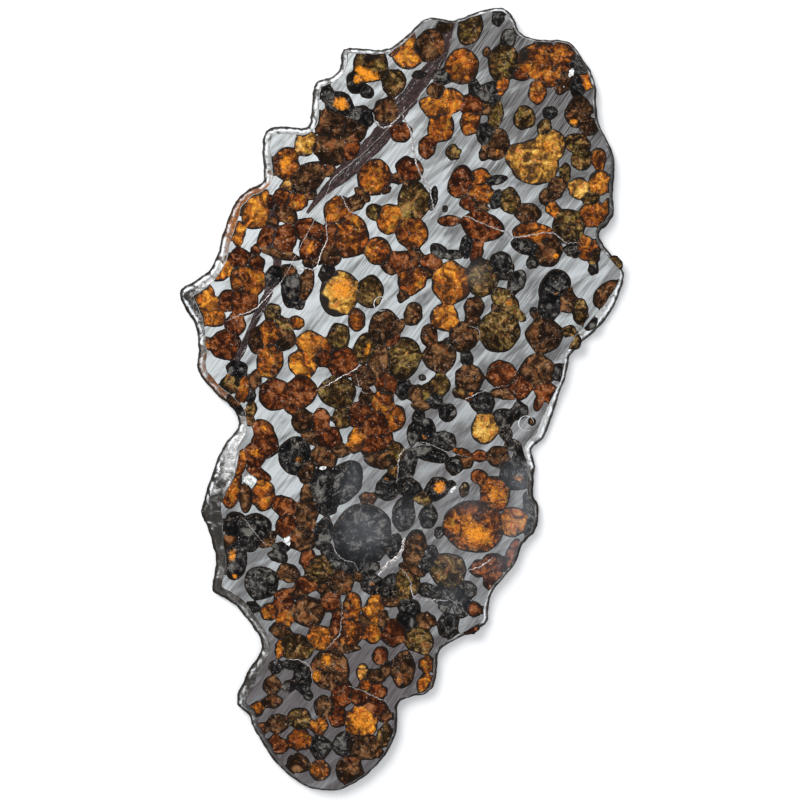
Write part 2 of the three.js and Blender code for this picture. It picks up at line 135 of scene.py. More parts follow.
# The olivine crystals. Each is a rounded grain, cut flat on both faces and polished flush with the metal,
# so it shows as a round or bluntly angled pane. Grains that touch meet along a line. A dark, weathered rim
# lies against the metal, and the core is broken by countless fine fractures that catch the light.
# Each row has a colour, the grain's middle, half length and half width, and its turn in degrees if any.
# A joined row is another lobe of the grain above it. The last rows are small grains between the rest.
CRYSTALS = """
amber -11.2 74.5 3 2.5
joined -11.8 78 1.4 2.3
brown -14.4 75.5 1.9 1.2 25
brown -6.7 78.3 3.3 3.6
olive -4.7 83.2 1.7 1.3
black -7.6 71.3 1.7 0.8 20
olive -18.8 70.8 3.8 3.6
olive -12.7 68.2 2.5 2.9
black -21.2 66.1 1.8 2.4 25
black -18.1 64.7 1.5 1.2 -20
brown -12.8 61.6 2.8 2.9
black -23.5 60.5 2.9 2.7
black -27.3 62.6 1.5 2.4 30
black -17.8 59.1 2.7 2.2
brown -24.2 55.8 3.6 3.3
brown -19 55.5 2.8 3 -10
brown -23 50.2 4 3.2 -10
red -18.6 51 2 2.4 -30
gold -28.8 50.2 2.2 2.9
joined -29.9 53.1 1.4 1.2
orange -32 44.7 2.8 3.5
red -8.5 57.7 2.5 2.1 20
orange -12 46.6 3.6 4
red -4.6 50.3 3.1 2.4 -15
red -2 55.9 1.8 2.5 10
orange 1.2 75.5 3.6 3.9
brown -3.2 68.7 1.9 1.6
amber -2.8 64.9 3.4 2 -10
joined 0.8 67.4 2.7 2.7 30
orange 0 61 2.8 3.3
black 6.5 88 1.3 1.7
olive 1 84.2 2.6 3.7 -10
black 9.8 84.2 1.6 1.9
olive 10 78.6 3.2 4
orange 11 73.2 1.2 2.3 -15
orange 18 80.9 5 4 15
joined 22.8 84.3 2.8 2.8
joined 21 78.2 2.4 2.2 -30
orange 19.1 73.9 1.9 2.5
orange 29.2 79 1.9 1.7 -20
brown 29.1 71.8 2.8 3.4
joined 32 69.4 2.3 1.9 -20
black 23 70.2 1.5 1.3
olive 17.6 67.6 2.3 2.6
olive 22.6 66.4 1.5 1.7
gold 22.3 58.6 5.4 5 40
joined 24.8 62.8 3.5 3.6
joined 18.8 58.8 2.9 3.2
olive 30.6 64.8 2.9 2.1
joined 32.4 61.8 2.3 2.4
orange 36.2 62.8 1.5 2.4 15
amber 37.8 57.6 2.5 2.5
olive 29.6 58 1 1.9 15
gold 33.3 55.2 2 2.3
brown 28.5 54 1.7 2.3
brown 26.6 51.5 1.3 1.6
amber 28.9 49.2 1.5 1.3
orange 38 50.3 3.1 2.7 20
joined 40.7 52.3 1.5 2.4
olive 36.6 53.4 1.7 1.5
olive 33.3 46.5 3.4 3.6
brown 23.6 47 2.8 2.1 15
olive 19 48.8 2.1 2.8 10
black 15 52.6 2.3 0.9 25
red 7.1 50.2 2.5 3.5 -10
orange 11.3 52.3 1.8 2
orange 12.3 48.8 2.6 2.2
black 16 48.3 1.1 2
red 10.2 45.8 1.9 1.3
olive 4 56.2 1.6 1.6
black 10 62 1.7 2.4
brown 13.3 60.3 2.3 3.5
brown 10.8 57.6 1 1.5
olive 11.4 66.5 1.4 3
orange 6 63.8 2 3
red 5.4 67.4 2.7 2
black 8.8 71.2 2.3 2.2
black 5 71.5 1 1.6
brown -26.2 42.8 2.9 4.2 -35
gold -30.5 39.7 1.2 0.8
orange -31 37 1.7 2
orange -27.4 37 2.2 1.8
amber -35.9 32.9 3.1 4.2
joined -36.1 36.3 2 2.2
amber -38.5 26.8 1.4 2.6 10
red -33.4 35.2 0.9 1.5 20
brown -29.3 33.7 2.8 1.6 -20
red -28 28 2.4 3.3
red -23.4 31.5 3 2.4
red -22.1 27.6 2.2 2.7
red -32.3 27.4 1.5 2.6 -10
orange -18 37.2 3.1 3.2 -20
orange -14.2 32.2 4.3 4.8
red -18 31.9 1.9 2.8
brown -14.5 39.9 1.7 1.5
orange -7.1 30.6 2.7 3
olive -10 38.9 1.6 1.7
orange -6.4 38.2 2.5 3.4
orange -0.6 36.4 3.5 3.4
olive -2 43.6 3.3 4.2 20
black 2.2 45.2 0.8 2.6 5
red -1 29.4 3.6 2.2 -10
red -36.8 21.6 2.2 2
orange -33.8 17 3.8 3.4
red -33.6 12.2 3.2 2.9
red -37.4 11.5 1.7 2.3
red -33 21.2 1.8 1.8
black -28.4 19.4 1.7 2.6 -10
amber -40.1 17.7 1.8 2.5 -20
amber -42.3 11.2 2.1 2.7
joined -39.4 7.3 2.5 2.3
joined -40.8 9.4 2.2 2.4
red -34.1 6.8 2 2.4
red -35.3 1.8 3.4 3.2
orange -39.7 1 1 1.4
olive -26.7 11.5 1.7 1.9
orange -20.8 10.6 1.5 1.3
orange -26.3 6.8 2.6 2.8
brown -22.4 6.2 2 2.2
orange -24.6 0.6 2.8 3.5
olive -24 9.5 2 1.3
amber -16.9 6.9 2.7 2.6
amber -17.3 2 3.2 2.9
olive -11 9.7 2.3 3
orange -13.2 7.1 1.7 1.2 -20
red -12.9 4.2 2 1.8
red -8.7 4.4 3.2 3.2
orange -7.9 14.4 1.8 2.3 10
gold -13.2 19.2 4.2 5
olive -6.5 21.3 2.8 3.6 10
black -23.8 17.4 2.2 3.9 10
brown -21 19.4 1.6 3.7
brown -25.4 21.2 1.7 1.5
black -16.9 22.8 1.7 1.8
brown -17.1 27.2 2.2 2.5
brown -1.6 14.4 3.2 3.8
olive -4.7 8.6 2.2 3.2
brown -0.7 6.6 2.4 3.4
olive -8.3 -2.4 4 3.3 10
red 14.5 41.6 4.7 3.1
orange 25.6 43 4.3 2.1 12
black 24.6 39.6 3 1.6 -5
brown 30.3 39.5 2.8 3
joined 30.6 42.4 1.2 1.4
black 35.5 41.3 1.7 1.4
orange 38.3 42.6 2.2 2.5
olive 40.4 41.2 1.1 1.9
black 41 38.3 1 1.2
black 27.3 36.4 1.2 1.2
olive 45.5 41 1.7 1.1 -35
black 20.8 34.2 2.4 3.1 25
black 25 31.4 1.7 2.7 -15
black 33.5 32.2 3.2 4.2 -15
joined 33.4 28.2 2.5 3.3 10
brown 36.7 30.2 2 2.9 15
brown 45.3 33.7 2.3 3.6 -30
olive 40.4 28.4 1.6 2.8 15
olive 39.2 23.5 1.3 1.2
black 43.4 26.3 1 1.7 -35
olive 40.7 21.4 1.5 1.6
brown 33.8 21.2 3.9 3.8
black 30 26 0.5 0.6
olive 22.4 27.2 2.1 1.9
joined 24.6 26.1 2.3 1.9 -30
joined 27.2 24.3 1.7 1 -25
olive 23.8 19.6 4.5 4.6
amber 10.8 27.6 4.3 4.5
olive 17 30.4 3.6 4
brown 17 23.5 2.1 2.1
amber 11.1 19.7 3 2.9
brown 16.4 16.6 3 3.3 -20
brown 17.4 20.5 1.5 1.1
brown 8.8 14.9 1.9 2.6 10
joined 12.2 10.8 3.6 3.3
black 13 14.6 0.5 0.5
black 18.2 12 1.3 1.3
brown 4.1 18.8 1.9 2.5
orange 1.9 26.2 3 3.3
red 5.2 30.9 2.3 1.6
brown 1.3 31.9 1.5 1.2
black 6.3 34 2 1.4 -20
joined 9.3 33.9 2.4 1 12
black 12 36.3 1.3 2.3 10
red 14.4 36.2 1.4 2.4
red 6.8 41 2.5 1.1 15
black 5.3 43.5 0.4 0.6
olive 4.5 8.6 3.5 4.6
red 1 12 1.6 1.4
olive 13.8 4.8 2.1 2.3
black 13.5 1.1 1.4 1.6
brown 19.8 7.8 3.1 2.8
olive 18.6 4.1 1.4 1.2
orange 21 3.7 0.9 0.8
black 24 3.2 2.6 2.3
red 26.6 10.4 3.2 3
brown 34.2 13.2 3.7 3.4
black 39 14.1 1.3 1.9
red 31.2 8.6 2.6 2.6
brown 28.4 6.3 2.9 1.1 8
red 37.6 8.8 2.6 2
joined 36.3 6.2 1 1.8
brown 35.9 1.7 0.7 0.7
black 32.6 3.4 1.7 1.8 20
black 29.5 0.9 2.2 2 -10
black 9.5 5.4 0.6 0.5
black 6 1.8 1.3 2.2
red 2 2 2.4 2.1
orange 2.2 -2 2.3 2.4
brown 8.7 1.6 1.7 1.6
olive 11.3 2.7 1.1 1.4
black 17 -0.9 1.8 2
gold 25.9 -2.4 2.9 3.3
red -21.8 -6.4 3.3 3.5
red -16.1 -4.2 3.3 3.2
olive -5.7 -7.8 2.1 2.1
red -2.3 -6.3 2.6 2.7
brown -14.3 -10.6 2.3 2.4
red -10.3 -9.7 1.8 2.8
red -17.4 -8.8 1.1 0.8
red -7.4 -13 2.7 2.3
amber -1.5 -12 1.8 2.6
red -22.4 -14.6 2.4 2
joined -21.3 -17.6 2.9 3.4 10
joined -22.8 -20.5 2.5 2.8
orange -25.6 -23.4 1.4 3
joined -25.7 -27 1.2 2.2
joined -25.8 -30.5 1.7 3
brown -22.5 -30.5 1.3 3 15
red -21 -24.4 2.9 1 -10
orange -18.8 -28.9 2.4 3.4 10
red -13.5 -30.2 3 2.1 -10
red -12.2 -34.3 2.1 2.6
black -14.2 -18.6 3.3 4.1
brown -10.7 -21.5 1.7 2.4
brown -7.6 -17.3 2.8 2.2
black -6.4 -23.2 2.6 3.6
black -1.6 -21.6 3.4 5 -15
black -4.4 -27.4 2.4 2.4
brown -8.5 -31 2.5 3.4
brown -8 -36.6 3 2.4
black -18.6 -36.4 3.2 3
joined -19.2 -39.8 2.1 2.2
black -23.6 -36.8 2.2 2.6
black -11.9 -39.3 1.7 0.9 10
black -12.3 -41.5 2.2 1.1
black -21.4 -44.8 2.5 4.2 10
black -14.5 -48.2 3.6 3.6
brown -9.1 -44.6 2.4 1.9
olive -2.6 -42.2 3 2.9
red -5.7 -40.6 1.5 2
olive -32.2 -6.6 2 1.9
orange -28.9 -6.9 1.3 2.6
black -31.4 -2.8 2.2 1.7
brown -27 -4.2 1.2 2
black -26.9 -7.9 0.8 1.1
brown -30.3 -10 1.6 1 -20
black -28.4 -11.5 1.2 0.9
olive -26 -10.8 1 1.3
brown -26.3 -13.6 1.4 1
orange 5.9 -5 2.1 2.8
red 1.6 -7.6 3.2 2.8
red 2.6 -12.2 2.6 2.6
brown 4.4 -14.7 3.2 2.1
olive 7.7 -12.6 1.7 2.5
black 10.7 -7 1.4 2.6
black 10.8 -3.4 1.2 1.3
black 13.3 -6.1 1.8 2.6
black 17.7 -7.3 2.6 2.1
black 15.6 -11 4 1.5
black 11.1 -14.6 1.8 3.7
olive 8.4 -16.9 0.9 1.2
black 31.2 -2.6 1.2 1.4
joined 32.8 -4.3 1.6 1.2
orange 22.3 -8.8 1.7 0.8
black 21.3 -12.2 1.8 1.8
brown 23.8 -10.7 1.3 1.2
red 26.3 -8.6 1.3 1.2
red 27.3 -13.2 1.6 1.6
brown 30.3 -7.8 2.3 2.2
black 36.5 -6.8 2.4 3 20
black 35.7 -10.6 3.9 3.3 20
black 40.1 -16.6 2.9 1.4 123
black 41.3 -21.4 2 1.1 80
orange 31.7 -16 3.1 3.8 25
amber 37.2 -21.2 2.8 3.2
black 18.8 -18 2.3 2.6
olive 24.8 -16.8 0.9 1.6
black 21.8 -16.4 0.8 0.7
orange 28.8 -24.4 6.7 5.6
black 21.6 -27.6 0.8 1.2
black 7.9 -20.6 2.4 2.8
brown 4.2 -24 1.6 1.3
black 12.6 -19.4 2.6 1.9
olive 16.2 -21 1.8 1.2
black 12.9 -25.5 2.4 3.6 10
black 18.4 -24.7 1.9 2.4
black 5 -32.2 6.3 6.9
black 12.6 -33 1.5 2.6
brown 17 -32.2 2.4 4
black 21 -33.8 1.6 3
olive 25.6 -35.3 3.9 3.8
red 39 -27.9 1.4 3.2 -10
red 35.4 -31.1 2.6 1.9
red 32.3 -33.2 2 1.7 30
red 36 -34.9 1.8 2.5 -20
black 31 -38.5 2 1.7
red 33.6 -42.4 1.5 1.5
red 34 -46.9 1.7 0.9 35
olive 17.2 -40.6 2.8 3.2
black 13.9 -42 1.8 2.7
black 26.6 -41.2 3.6 1.9
joined 30.5 -42.6 1.9 2.3
black 22 -40.8 1.6 1.5
black 19.3 -45.6 2.3 1.8
black 28.7 -47.4 2.2 2.7
brown 23.6 -47.5 2 1.7
black 9.8 -42.5 2.4 2.1
brown 2.9 -43.6 2.6 2.6
amber 11.4 -47.9 1.9 3.1
orange 6.6 -48.4 1.9 2.9
red 1.7 -48.6 2.2 2.2
red -4.5 -46.2 2.2 1.6
black -15.2 -54 1.7 1
orange -11.3 -54.2 1.5 1.8
red -8.7 -50.8 1.9 2.4
orange -7.4 -54.7 1.7 1.6
brown -2.6 -52 3.4 3.2
amber 1.4 -57 2.9 2.5
brown -7.7 -57.6 2.4 1.5
olive -3.4 -60.4 3.6 2.8
orange -6.7 -61.5 1.1 1.7
brown 5.2 -63.5 4.3 4.3
gold 12.3 -62 1.1 1.7
orange 13.8 -65 1.2 1
black -6.8 -65.8 1.4 1.3
black -3.8 -64.6 1.6 0.8
brown -6.6 -70 1.9 1.9
black -2.8 -69.3 1.1 1.3
black -0.3 -67 1.8 3.2 20
black 2 -70.3 0.8 0.9
orange -8.6 -76 1.5 1.5
brown -5.6 -73.6 2.4 1.2 25
brown 5.8 -71.8 2 2.2
red 9.3 -68 2.2 3
red 13 -67.8 2.2 1.6 -10
amber 14.8 -73.2 3.5 3.2
red 17.2 -52 2.6 2.8
orange 12.5 -53.3 1.8 2.1
olive 23.2 -52.2 3.2 2.7
red 15.4 -57.6 1.6 1.9
orange 8 -54.4 2.2 3.2
red 4.2 -52.6 1.3 3.2
brown 21.2 -59.4 2.5 4.1 10
orange 26.2 -57 1.7 1.7
orange 26.9 -61.5 1.8 2.2
red 17 -65.4 2 1.3
red 17.3 -69 2.4 1.8
brown 17 -78.4 3.6 2.8
black 12 -78.9 1.8 2.6
olive 20.8 -74.8 1.4 2.6
brown 15 -84.4 3 3
red 9.6 -73.4 1.6 2.2
orange 6 -76.4 1.8 1.6
olive 1.2 -75.6 2.4 2.2
brown -3.2 -78 2.2 2
orange 2.4 -80.4 2.6 2.2 10
black 7.4 -80.9 2.2 2.4
red -2.2 -82.8 2.3 1.8 -20
brown 3.4 -85.6 2.4 2
amber 8.6 -86 2.2 2.1
brown -6.4 -80 1.2 1.2
brown -3.2 2.2 2.4 2.2
joined -1.8 -1.6 1.6 1.8
black -3.6 -34 1.8 3.6
black 1.8 -39.6 3.4 1.6 -20
black 8 -38.8 2.6 1.5 25
brown -28.2 24.6 4.6 1
red 14.4 76.9 1.7 1.3
brown 24.4 77.4 1.4 2.8 -15
brown -4.4 -15 1.9 1.3
brown -11.9 -13.8 1.7 1 -30
brown -9.7 -26.2 1 1.7
brown -0.4 -46.2 1.2 1.1
brown -6.3 -48.5 1.6 1
brown -15.4 -38.5 1.2 2 -30
brown -24 -41 2 1.1 30
brown 10.4 -50.8 1.2 1
brown 14.2 -49.5 0.8 1.8
brown 14.8 -45.3 1.8 1
black 19.3 -48.7 2.2 1.3 -20
brown 17.6 -37.2 3 1 -10
brown 8.2 -57.8 2.2 0.8 15
brown 5 28.4 1 0.8
brown -3.9 27.2 1.6 0.8 -25
brown 0.8 22.2 1 1.5 -20
brown 2 15.4 0.6 1.3
brown -6.8 47.4 1.2 1
brown -13.5 42 2 0.8 -25
brown -8.6 44.3 1 0.6 30
brown 12.8 45.8 1.8 0.7
brown 21.7 24.7 0.8 0.7
brown 31 25.2 0.8 0.6
brown -31.6 31.3 1.1 1
brown 5.7 80 0.6 1
brown 8.8 67.6 0.8 1.3
black 26.8 82.2 2.9 1.5 -42
black 27.6 77.6 1.6 2.2
black -2.6 72.2 2.1 1.5
brown -28.9 4.6 1.7 2.7 10
brown -20.8 24.5 2 0.8 20
brown -22 45.7 1 1.5
brown -24.6 39.2 1 0.9
red -33.8 24.2 0.9 0.9
black -21.2 14.7 0.9 1.1
brown 10.8 -0.9 1.9 0.8 10
red 5.4 -9.8 0.9 1
brown 6.4 -41.7 1 0.7
brown 15.7 -62.2 2 1.2
brown 17.5 -60.4 0.9 1.5
red 4.9 -57 0.7 1.2
brown 20 -70.6 1.5 1 30
black 26.8 -43.8 1.1 0.6
red 23.8 80.8 0.8 0.7
black -1.9 -37.4 1.1 1.1 30
"""
CRYSTAL_ANGLES = 60
CRYSTAL_PROFILE = np.array([
    # share of the radius, then height above the back face as a share of the thickness
    [0.30, 1], [0.50, 1], [0.66, 1], [0.78, 1], [0.87, 1], [0.94, 1], [1, 1],
    [1, 0.5], [1, 0], [0.9, 0], [0.5, 0],
])
DOME = 0.05
RIM_DROP = 0.05
RIM_SHARPNESS = 24
# A grain that comes within EDGE_SNAP of the polished face's edge runs out to it, less EDGE_GAP.
EDGE_GAP = 0.04
EDGE_SNAP = 0.6
SMALLEST_REACH = 0.2
# A large grain's outline was read closely, so it gets less unevenness of its own than a small one.
UNEVEN_SIZE = 1.6
UNEVEN_LEAST = 0.35
UNEVEN_HEIGHT = 0.05
UNEVEN_WAVES = np.arange(2, 8)
CORNER_COUNTS = (5, 8)
CORNER_BLUNTNESS = 0.6
CORNER_SHARES = (0.25, 0.6)
SHAPE_SEED = 11
NEARLY_PARALLEL = 1e-9
# Grains that nearly touch have grown together in a dark neck. SKIN is how far a lone grain's skin lies
# outside its read outline, and NECK is how softly two outlines run into one.
SKIN = 0.22
NECK = 0.45
NECK_STEPS = 44
NECK_SHORTEST = -1.2
NECK_LONGEST = 1.6
NECK_LEAST_SHARE = 0.4

rows = [row.split() for row in CRYSTALS.strip().split("\n")]
lobe_sizes = np.array([(row[1:] + ["0"])[:5] for row in rows], float)
lobe_starts = np.array([place for place, row in enumerate(rows) if row[0] != "joined"])
crystal_tint = np.array([rows[place][0] for place in lobe_starts])
lobe_crystal = np.cumsum([row[0] != "joined" for row in rows]) - 1
lobe_area = lobe_sizes[:, 2] * lobe_sizes[:, 3]
crystal_area = np.add.reduceat(lobe_area, lobe_starts)
crystal_middle = np.add.reduceat(lobe_sizes[:, :2] * lobe_area[:, None], lobe_starts) / crystal_area[:, None]
crystal_size = np.sqrt(crystal_area)
angle = 2 * np.pi * np.arange(CRYSTAL_ANGLES) / CRYSTAL_ANGLES
ray = np.stack([np.cos(angle), np.sin(angle)], 1)


def ray_reach(middle, lobes):
    """How far rays from the middles run before they leave their ellipses for good: the far root of
    |s + d t| = 1, with s the middle and d the ray's direction in the ellipse's own unit circle."""
    x, y, half_length, half_width, turn = lobes.T[:, :, None]
    turn = np.radians(turn)
    east, north = middle[:, :1] - x, middle[:, 1:] - y
    s = [(east * np.cos(turn) + north * np.sin(turn)) / half_length,
         (north * np.cos(turn) - east * np.sin(turn)) / half_width]
    d = [np.cos(angle - turn) / half_length, np.sin(angle - turn) / half_width]
    a, b = d[0] ** 2 + d[1] ** 2, s[0] * d[0] + s[1] * d[1]
    root = b ** 2 - a * (s[0] ** 2 + s[1] ** 2 - 1)
    return np.where(root > 0, (np.sqrt(np.maximum(root, 0)) - b) / a, 0)


def uneven(count, seed):
    """Factors on a grain's radius: 1 plus low waves of its angle, times the blunt corners of a polygon,
    cos(CORNER_BLUNTNESS half) / cos(angle within a side), with half the angle of half a side. The corners
    are blended in by a seeded share."""
    chance = np.random.default_rng(seed)
    height = chance.normal(0, UNEVEN_HEIGHT, (count, 1, UNEVEN_WAVES.size)) / np.sqrt(UNEVEN_WAVES)
    phase = chance.uniform(0, 2 * np.pi, height.shape)
    low = 1 + (height * np.sin(UNEVEN_WAVES * angle[None, :, None] + phase)).sum(2)
    half = np.pi / chance.integers(*CORNER_COUNTS, (count, 1), endpoint=True)
    start = chance.uniform(0, 2 * np.pi, (count, 1))
    corners = np.cos(half * CORNER_BLUNTNESS) / np.cos((angle + start) % (2 * half) - half)
    return low * (1 + chance.uniform(*CORNER_SHARES, (count, 1)) * (corners - 1))


def reach_to_edge(middle, loop):
    """How far each ray from each middle runs before it meets the loop. With the way to a segment's start,
    it is (way x step) / (ray x step), where (way x ray) / (ray x step) lies between 0 and 1."""
    step = np.roll(loop, -1, 0) - loop
    cross = ray[:, :1] * step[:, 1] - ray[:, 1:] * step[:, 0]
    cross = np.where(np.abs(cross) < NEARLY_PARALLEL, NEARLY_PARALLEL, cross)
    reach = np.empty((len(middle), angle.size))
    for place, point in enumerate(middle):
        to_start = loop - point
        far = (to_start[:, 0] * step[:, 1] - to_start[:, 1] * step[:, 0]) / cross
        share = (to_start[:, 0] * ray[:, 1:] - to_start[:, 1] * ray[:, :1]) / cross
        reach[place] = np.where((share >= 0) & (share < 1) & (far > 0), far, np.inf).min(1)
    return reach


def grown_together(reach):
    """The outlines of the grains with their skins and necks. Each ray runs on while the smooth distance to
    all grains, -NECK ln(sum of exp(-distance / NECK)), is under SKIN, but not past the line where a
    neighbour is as near. A neighbour's distance is measured along the ray from its own middle. Also says
    which rays end at a neighbour instead of at metal."""
    further = np.linspace(NECK_SHORTEST, NECK_LONGEST, NECK_STEPS)
    apart = np.linalg.norm(crystal_middle[:, None] - crystal_middle[None], axis=2)
    grown, touching = np.empty_like(reach), np.empty_like(reach)
    for place, middle in enumerate(crystal_middle):
        near = np.flatnonzero(apart[place] < reach[place].max() + reach.max(1) + 2 * NECK_LONGEST)
        near = near[near != place]
        along = np.maximum(reach[place][:, None] + further, 0)
        spot = middle + along[..., None] * ray[:, None]
        step = spot[:, :, None] - crystal_middle[near]
        turn = np.arctan2(step[..., 1], step[..., 0]) / (2 * np.pi) * CRYSTAL_ANGLES
        first = np.floor(turn).astype(int)
        low, high = reach[near, first % CRYSTAL_ANGLES], reach[near, (first + 1) % CRYSTAL_ANGLES]
        other = np.linalg.norm(step, axis=3) - (low + (high - low) * (turn - first))
        together = -NECK * np.log(np.exp(-further / NECK) + np.exp(-other / NECK).sum(2))
        shared = (other < further[:, None]).any(2)
        beyond = (together > SKIN) | shared
        beyond[:, -1] = True
        last = beyond.argmax(1)
        grown[place] = np.maximum(reach[place] + further[last], NECK_LEAST_SHARE * reach[place])
        touching[place] = shared[np.arange(CRYSTAL_ANGLES), last]
    return grown, (touching + np.roll(touching, 1, 1) + np.roll(touching, -1, 1)) / 3


read_reach = np.maximum.reduceat(ray_reach(crystal_middle[lobe_crystal], lobe_sizes), lobe_starts)
uneven_share = np.clip(UNEVEN_SIZE / crystal_size, UNEVEN_LEAST, 1)[:, None]
read_reach = read_reach * (1 + uneven_share * (uneven(len(lobe_starts), SHAPE_SEED) - 1))
crystal_reach, crystal_touch = grown_together(np.maximum(read_reach, SMALLEST_REACH))
to_edge = reach_to_edge(crystal_middle, front_edge) - EDGE_GAP
crystal_reach = np.where(to_edge - crystal_reach < EDGE_SNAP, to_edge, crystal_reach)
crystal_reach = np.maximum(crystal_reach, SMALLEST_REACH)


def loop_points(reach):
    """The points of each crystal's outline, one row of angles per crystal."""
    return crystal_middle[:, None] + reach[:, :, None] * ray


def closed_lathes(reach, which):
    """Vertices and faces of closed grains. Row j of a grain is its outline drawn in to a share of the
    radius, at a share of the thickness, raised on the front by DOME (1 - share^2) and sunk by RIM_DROP
    share^RIM_SHARPNESS. A pole closes it on each side."""
    share, level = CRYSTAL_PROFILE[:, 0], CRYSTAL_PROFILE[:, 1]
    dome = (DOME * (1 - share ** 2) - RIM_DROP * share ** RIM_SHARPNESS) * (level == 1)
    flat = crystal_middle[which, None, None] + (share[:, None] * reach[which, None])[..., None] * ray
    height = np.broadcast_to((THICKNESS * level + dome)[:, None], flat.shape[:3])
    rings = np.concatenate([flat, height[..., None]], 3)
    poles = np.concatenate([np.repeat(crystal_middle[which, None], 2, 1), np.zeros((len(which), 2, 1))], 2)
    poles[:, 0, 2] = THICKNESS + DOME
    count, levels, turns = rings.shape[:3]
    each = levels * turns + 2
    points = np.concatenate([rings.reshape(count, -1, 3), poles], 1).reshape(-1, 3)
    here = np.arange((levels - 1) * turns).reshape(levels - 1, turns)
    beside = np.roll(here, -1, 1)
    quads = np.stack([here, here + turns, beside + turns, beside], 2).reshape(-1, 4)
    first, last = np.arange(turns), (levels - 1) * turns + np.arange(turns)
    fans = np.concatenate([
        np.stack([np.full(turns, each - 2), first, np.roll(first, -1)], 1),
        np.stack([np.full(turns, each - 1), np.roll(last, -1), last], 1),
    ])
    offset = each * np.arange(count)[:, None, None]
    return points, (quads + offset).reshape(-1, 4).tolist() + (fans + offset).reshape(-1, 3).tolist()


def add_piece(name, points, faces, material, values=(), smooth=True):
    """Adds a mesh object of one material from points in mm, with named numbers on its points."""
    mesh = bpy.data.meshes.new(name)
    mesh.from_pydata((np.asarray(points) * MM).tolist(), [], faces)
    for label, numbers in dict(values).items():
        mesh.attributes.new(label, "FLOAT", "POINT").data.foreach_set("value", numbers.astype(np.float32))
    mesh.polygons.foreach_set("use_smooth", np.full(len(mesh.polygons), smooth))
    mesh.update()
    mesh.materials.append(material)
    piece = bpy.data.objects.new(name, mesh)
    bpy.context.collection.objects.link(piece)
    return piece


class Paint:
    """A socket of a material. Arithmetic on it adds Math nodes, and node() adds any other node."""

    def __init__(self, tree, socket=None):
        self.tree = tree
        self.socket = socket

    def node(self, kind, sockets=(), output=0, **settings):
        made = self.tree.nodes.new("ShaderNode" + kind)
        stops = settings.pop("stops", None)
        for key, value in settings.items():
            setattr(made, key, value)
        if stops:
            ramp = made.color_ramp.elements
            while len(ramp) < len(stops):
                ramp.new(0)
            for element, (place, colour) in zip(ramp, stops):
                element.position = place
                element.color = (*colour, 1)
        for key, value in dict(sockets).items():
            if isinstance(value, Paint):
                self.tree.links.new(value.socket, made.inputs[key])
            else:
                made.inputs[key].default_value = value
        return Paint(self.tree, made.outputs[output])

    def math(self, operation, *values):
        return self.node("Math", dict(enumerate(values)), operation=operation)

    def __add__(self, other):
        return self.math("ADD", self, other)

    def __sub__(self, other):
        return self.math("SUBTRACT", self, other)

    def __rsub__(self, other):
        return self.math("SUBTRACT", other, self)

    def __mul__(self, other):
        return self.math("MULTIPLY", self, other)

    __radd__ = __add__
    __rmul__ = __mul__

    def rise(self, low, high):
        """0 below low, 1 above high and a smooth step between. With low above high it falls."""
        values = {"Value": self, "From Min": low, "From Max": high}
        return self.node("MapRange", values, interpolation_type="SMOOTHSTEP")

    def mix(self, colour, other):
        """One colour where this mask is 0, the other where it is 1, each as three numbers or a link."""
        first, last = (part if isinstance(part, Paint) else (*part, 1) for part in (colour, other))
        return self.node("Mix", {0: self, 6: first, 7: last}, output=2, data_type="RGBA")

    def noise(self, scale, detail=2, roughness=0.5, distortion=0):
        values = {"Vector": self, "Scale": scale, "Detail": detail, "Roughness": roughness}
        return self.node("TexNoise", {**values, "Distortion": distortion})

    def cells(self, scale, output=0, **settings):
        return self.node("TexVoronoi", {"Vector": self, "Scale": scale}, output, **settings)

    def shifted(self, by, amount):
        """This vector moved by a colour or vector that is centred on 0.5."""
        centred = self.node("VectorMath", {0: by, 1: (0.5, 0.5, 0.5)}, operation="SUBTRACT")
        return self.node("VectorMath", {0: centred, 1: (amount,) * 3, 2: self}, operation="MULTIPLY_ADD")

    def turned(self, degrees, scale):
        """This vector along axes turned about Z, in units of scale, so a pattern runs along a line."""
        settings = {"Vector": self, "Rotation": (0, 0, np.radians(degrees)), "Scale": scale}
        return self.node("Mapping", settings, vector_type="TEXTURE")

    def value(self, name):
        """A number kept on the mesh's points."""
        return self.node("Attribute", output=2, attribute_name=name)

    def bump(self, strength, depth):
        """Normals of a surface that this relief raises by up to a depth in mm."""
        return self.node("Bump", {"Height": self, "Strength": strength, "Distance": depth * MM})


def new_finish(name):
    """A material with one shader, and its Object coordinates in mm."""
    material = bpy.data.materials.new(name)
    material.use_nodes = True
    tree = material.node_tree
    place = Paint(tree).node("TexCoord", output=3)
    return material, place.node("VectorMath", {0: place, "Scale": 1 / MM}, operation="SCALE")


def shade(material, **values):
    """Puts values or links into the shader's sockets. A socket's name is written with _ for each space."""
    tree = material.node_tree
    sockets = tree.nodes["Principled BSDF"].inputs
    for key, value in values.items():
        socket = sockets[key.replace("_", " ")]
        if isinstance(value, Paint):
            tree.links.new(value.socket, socket)
        else:
            socket.default_value = value


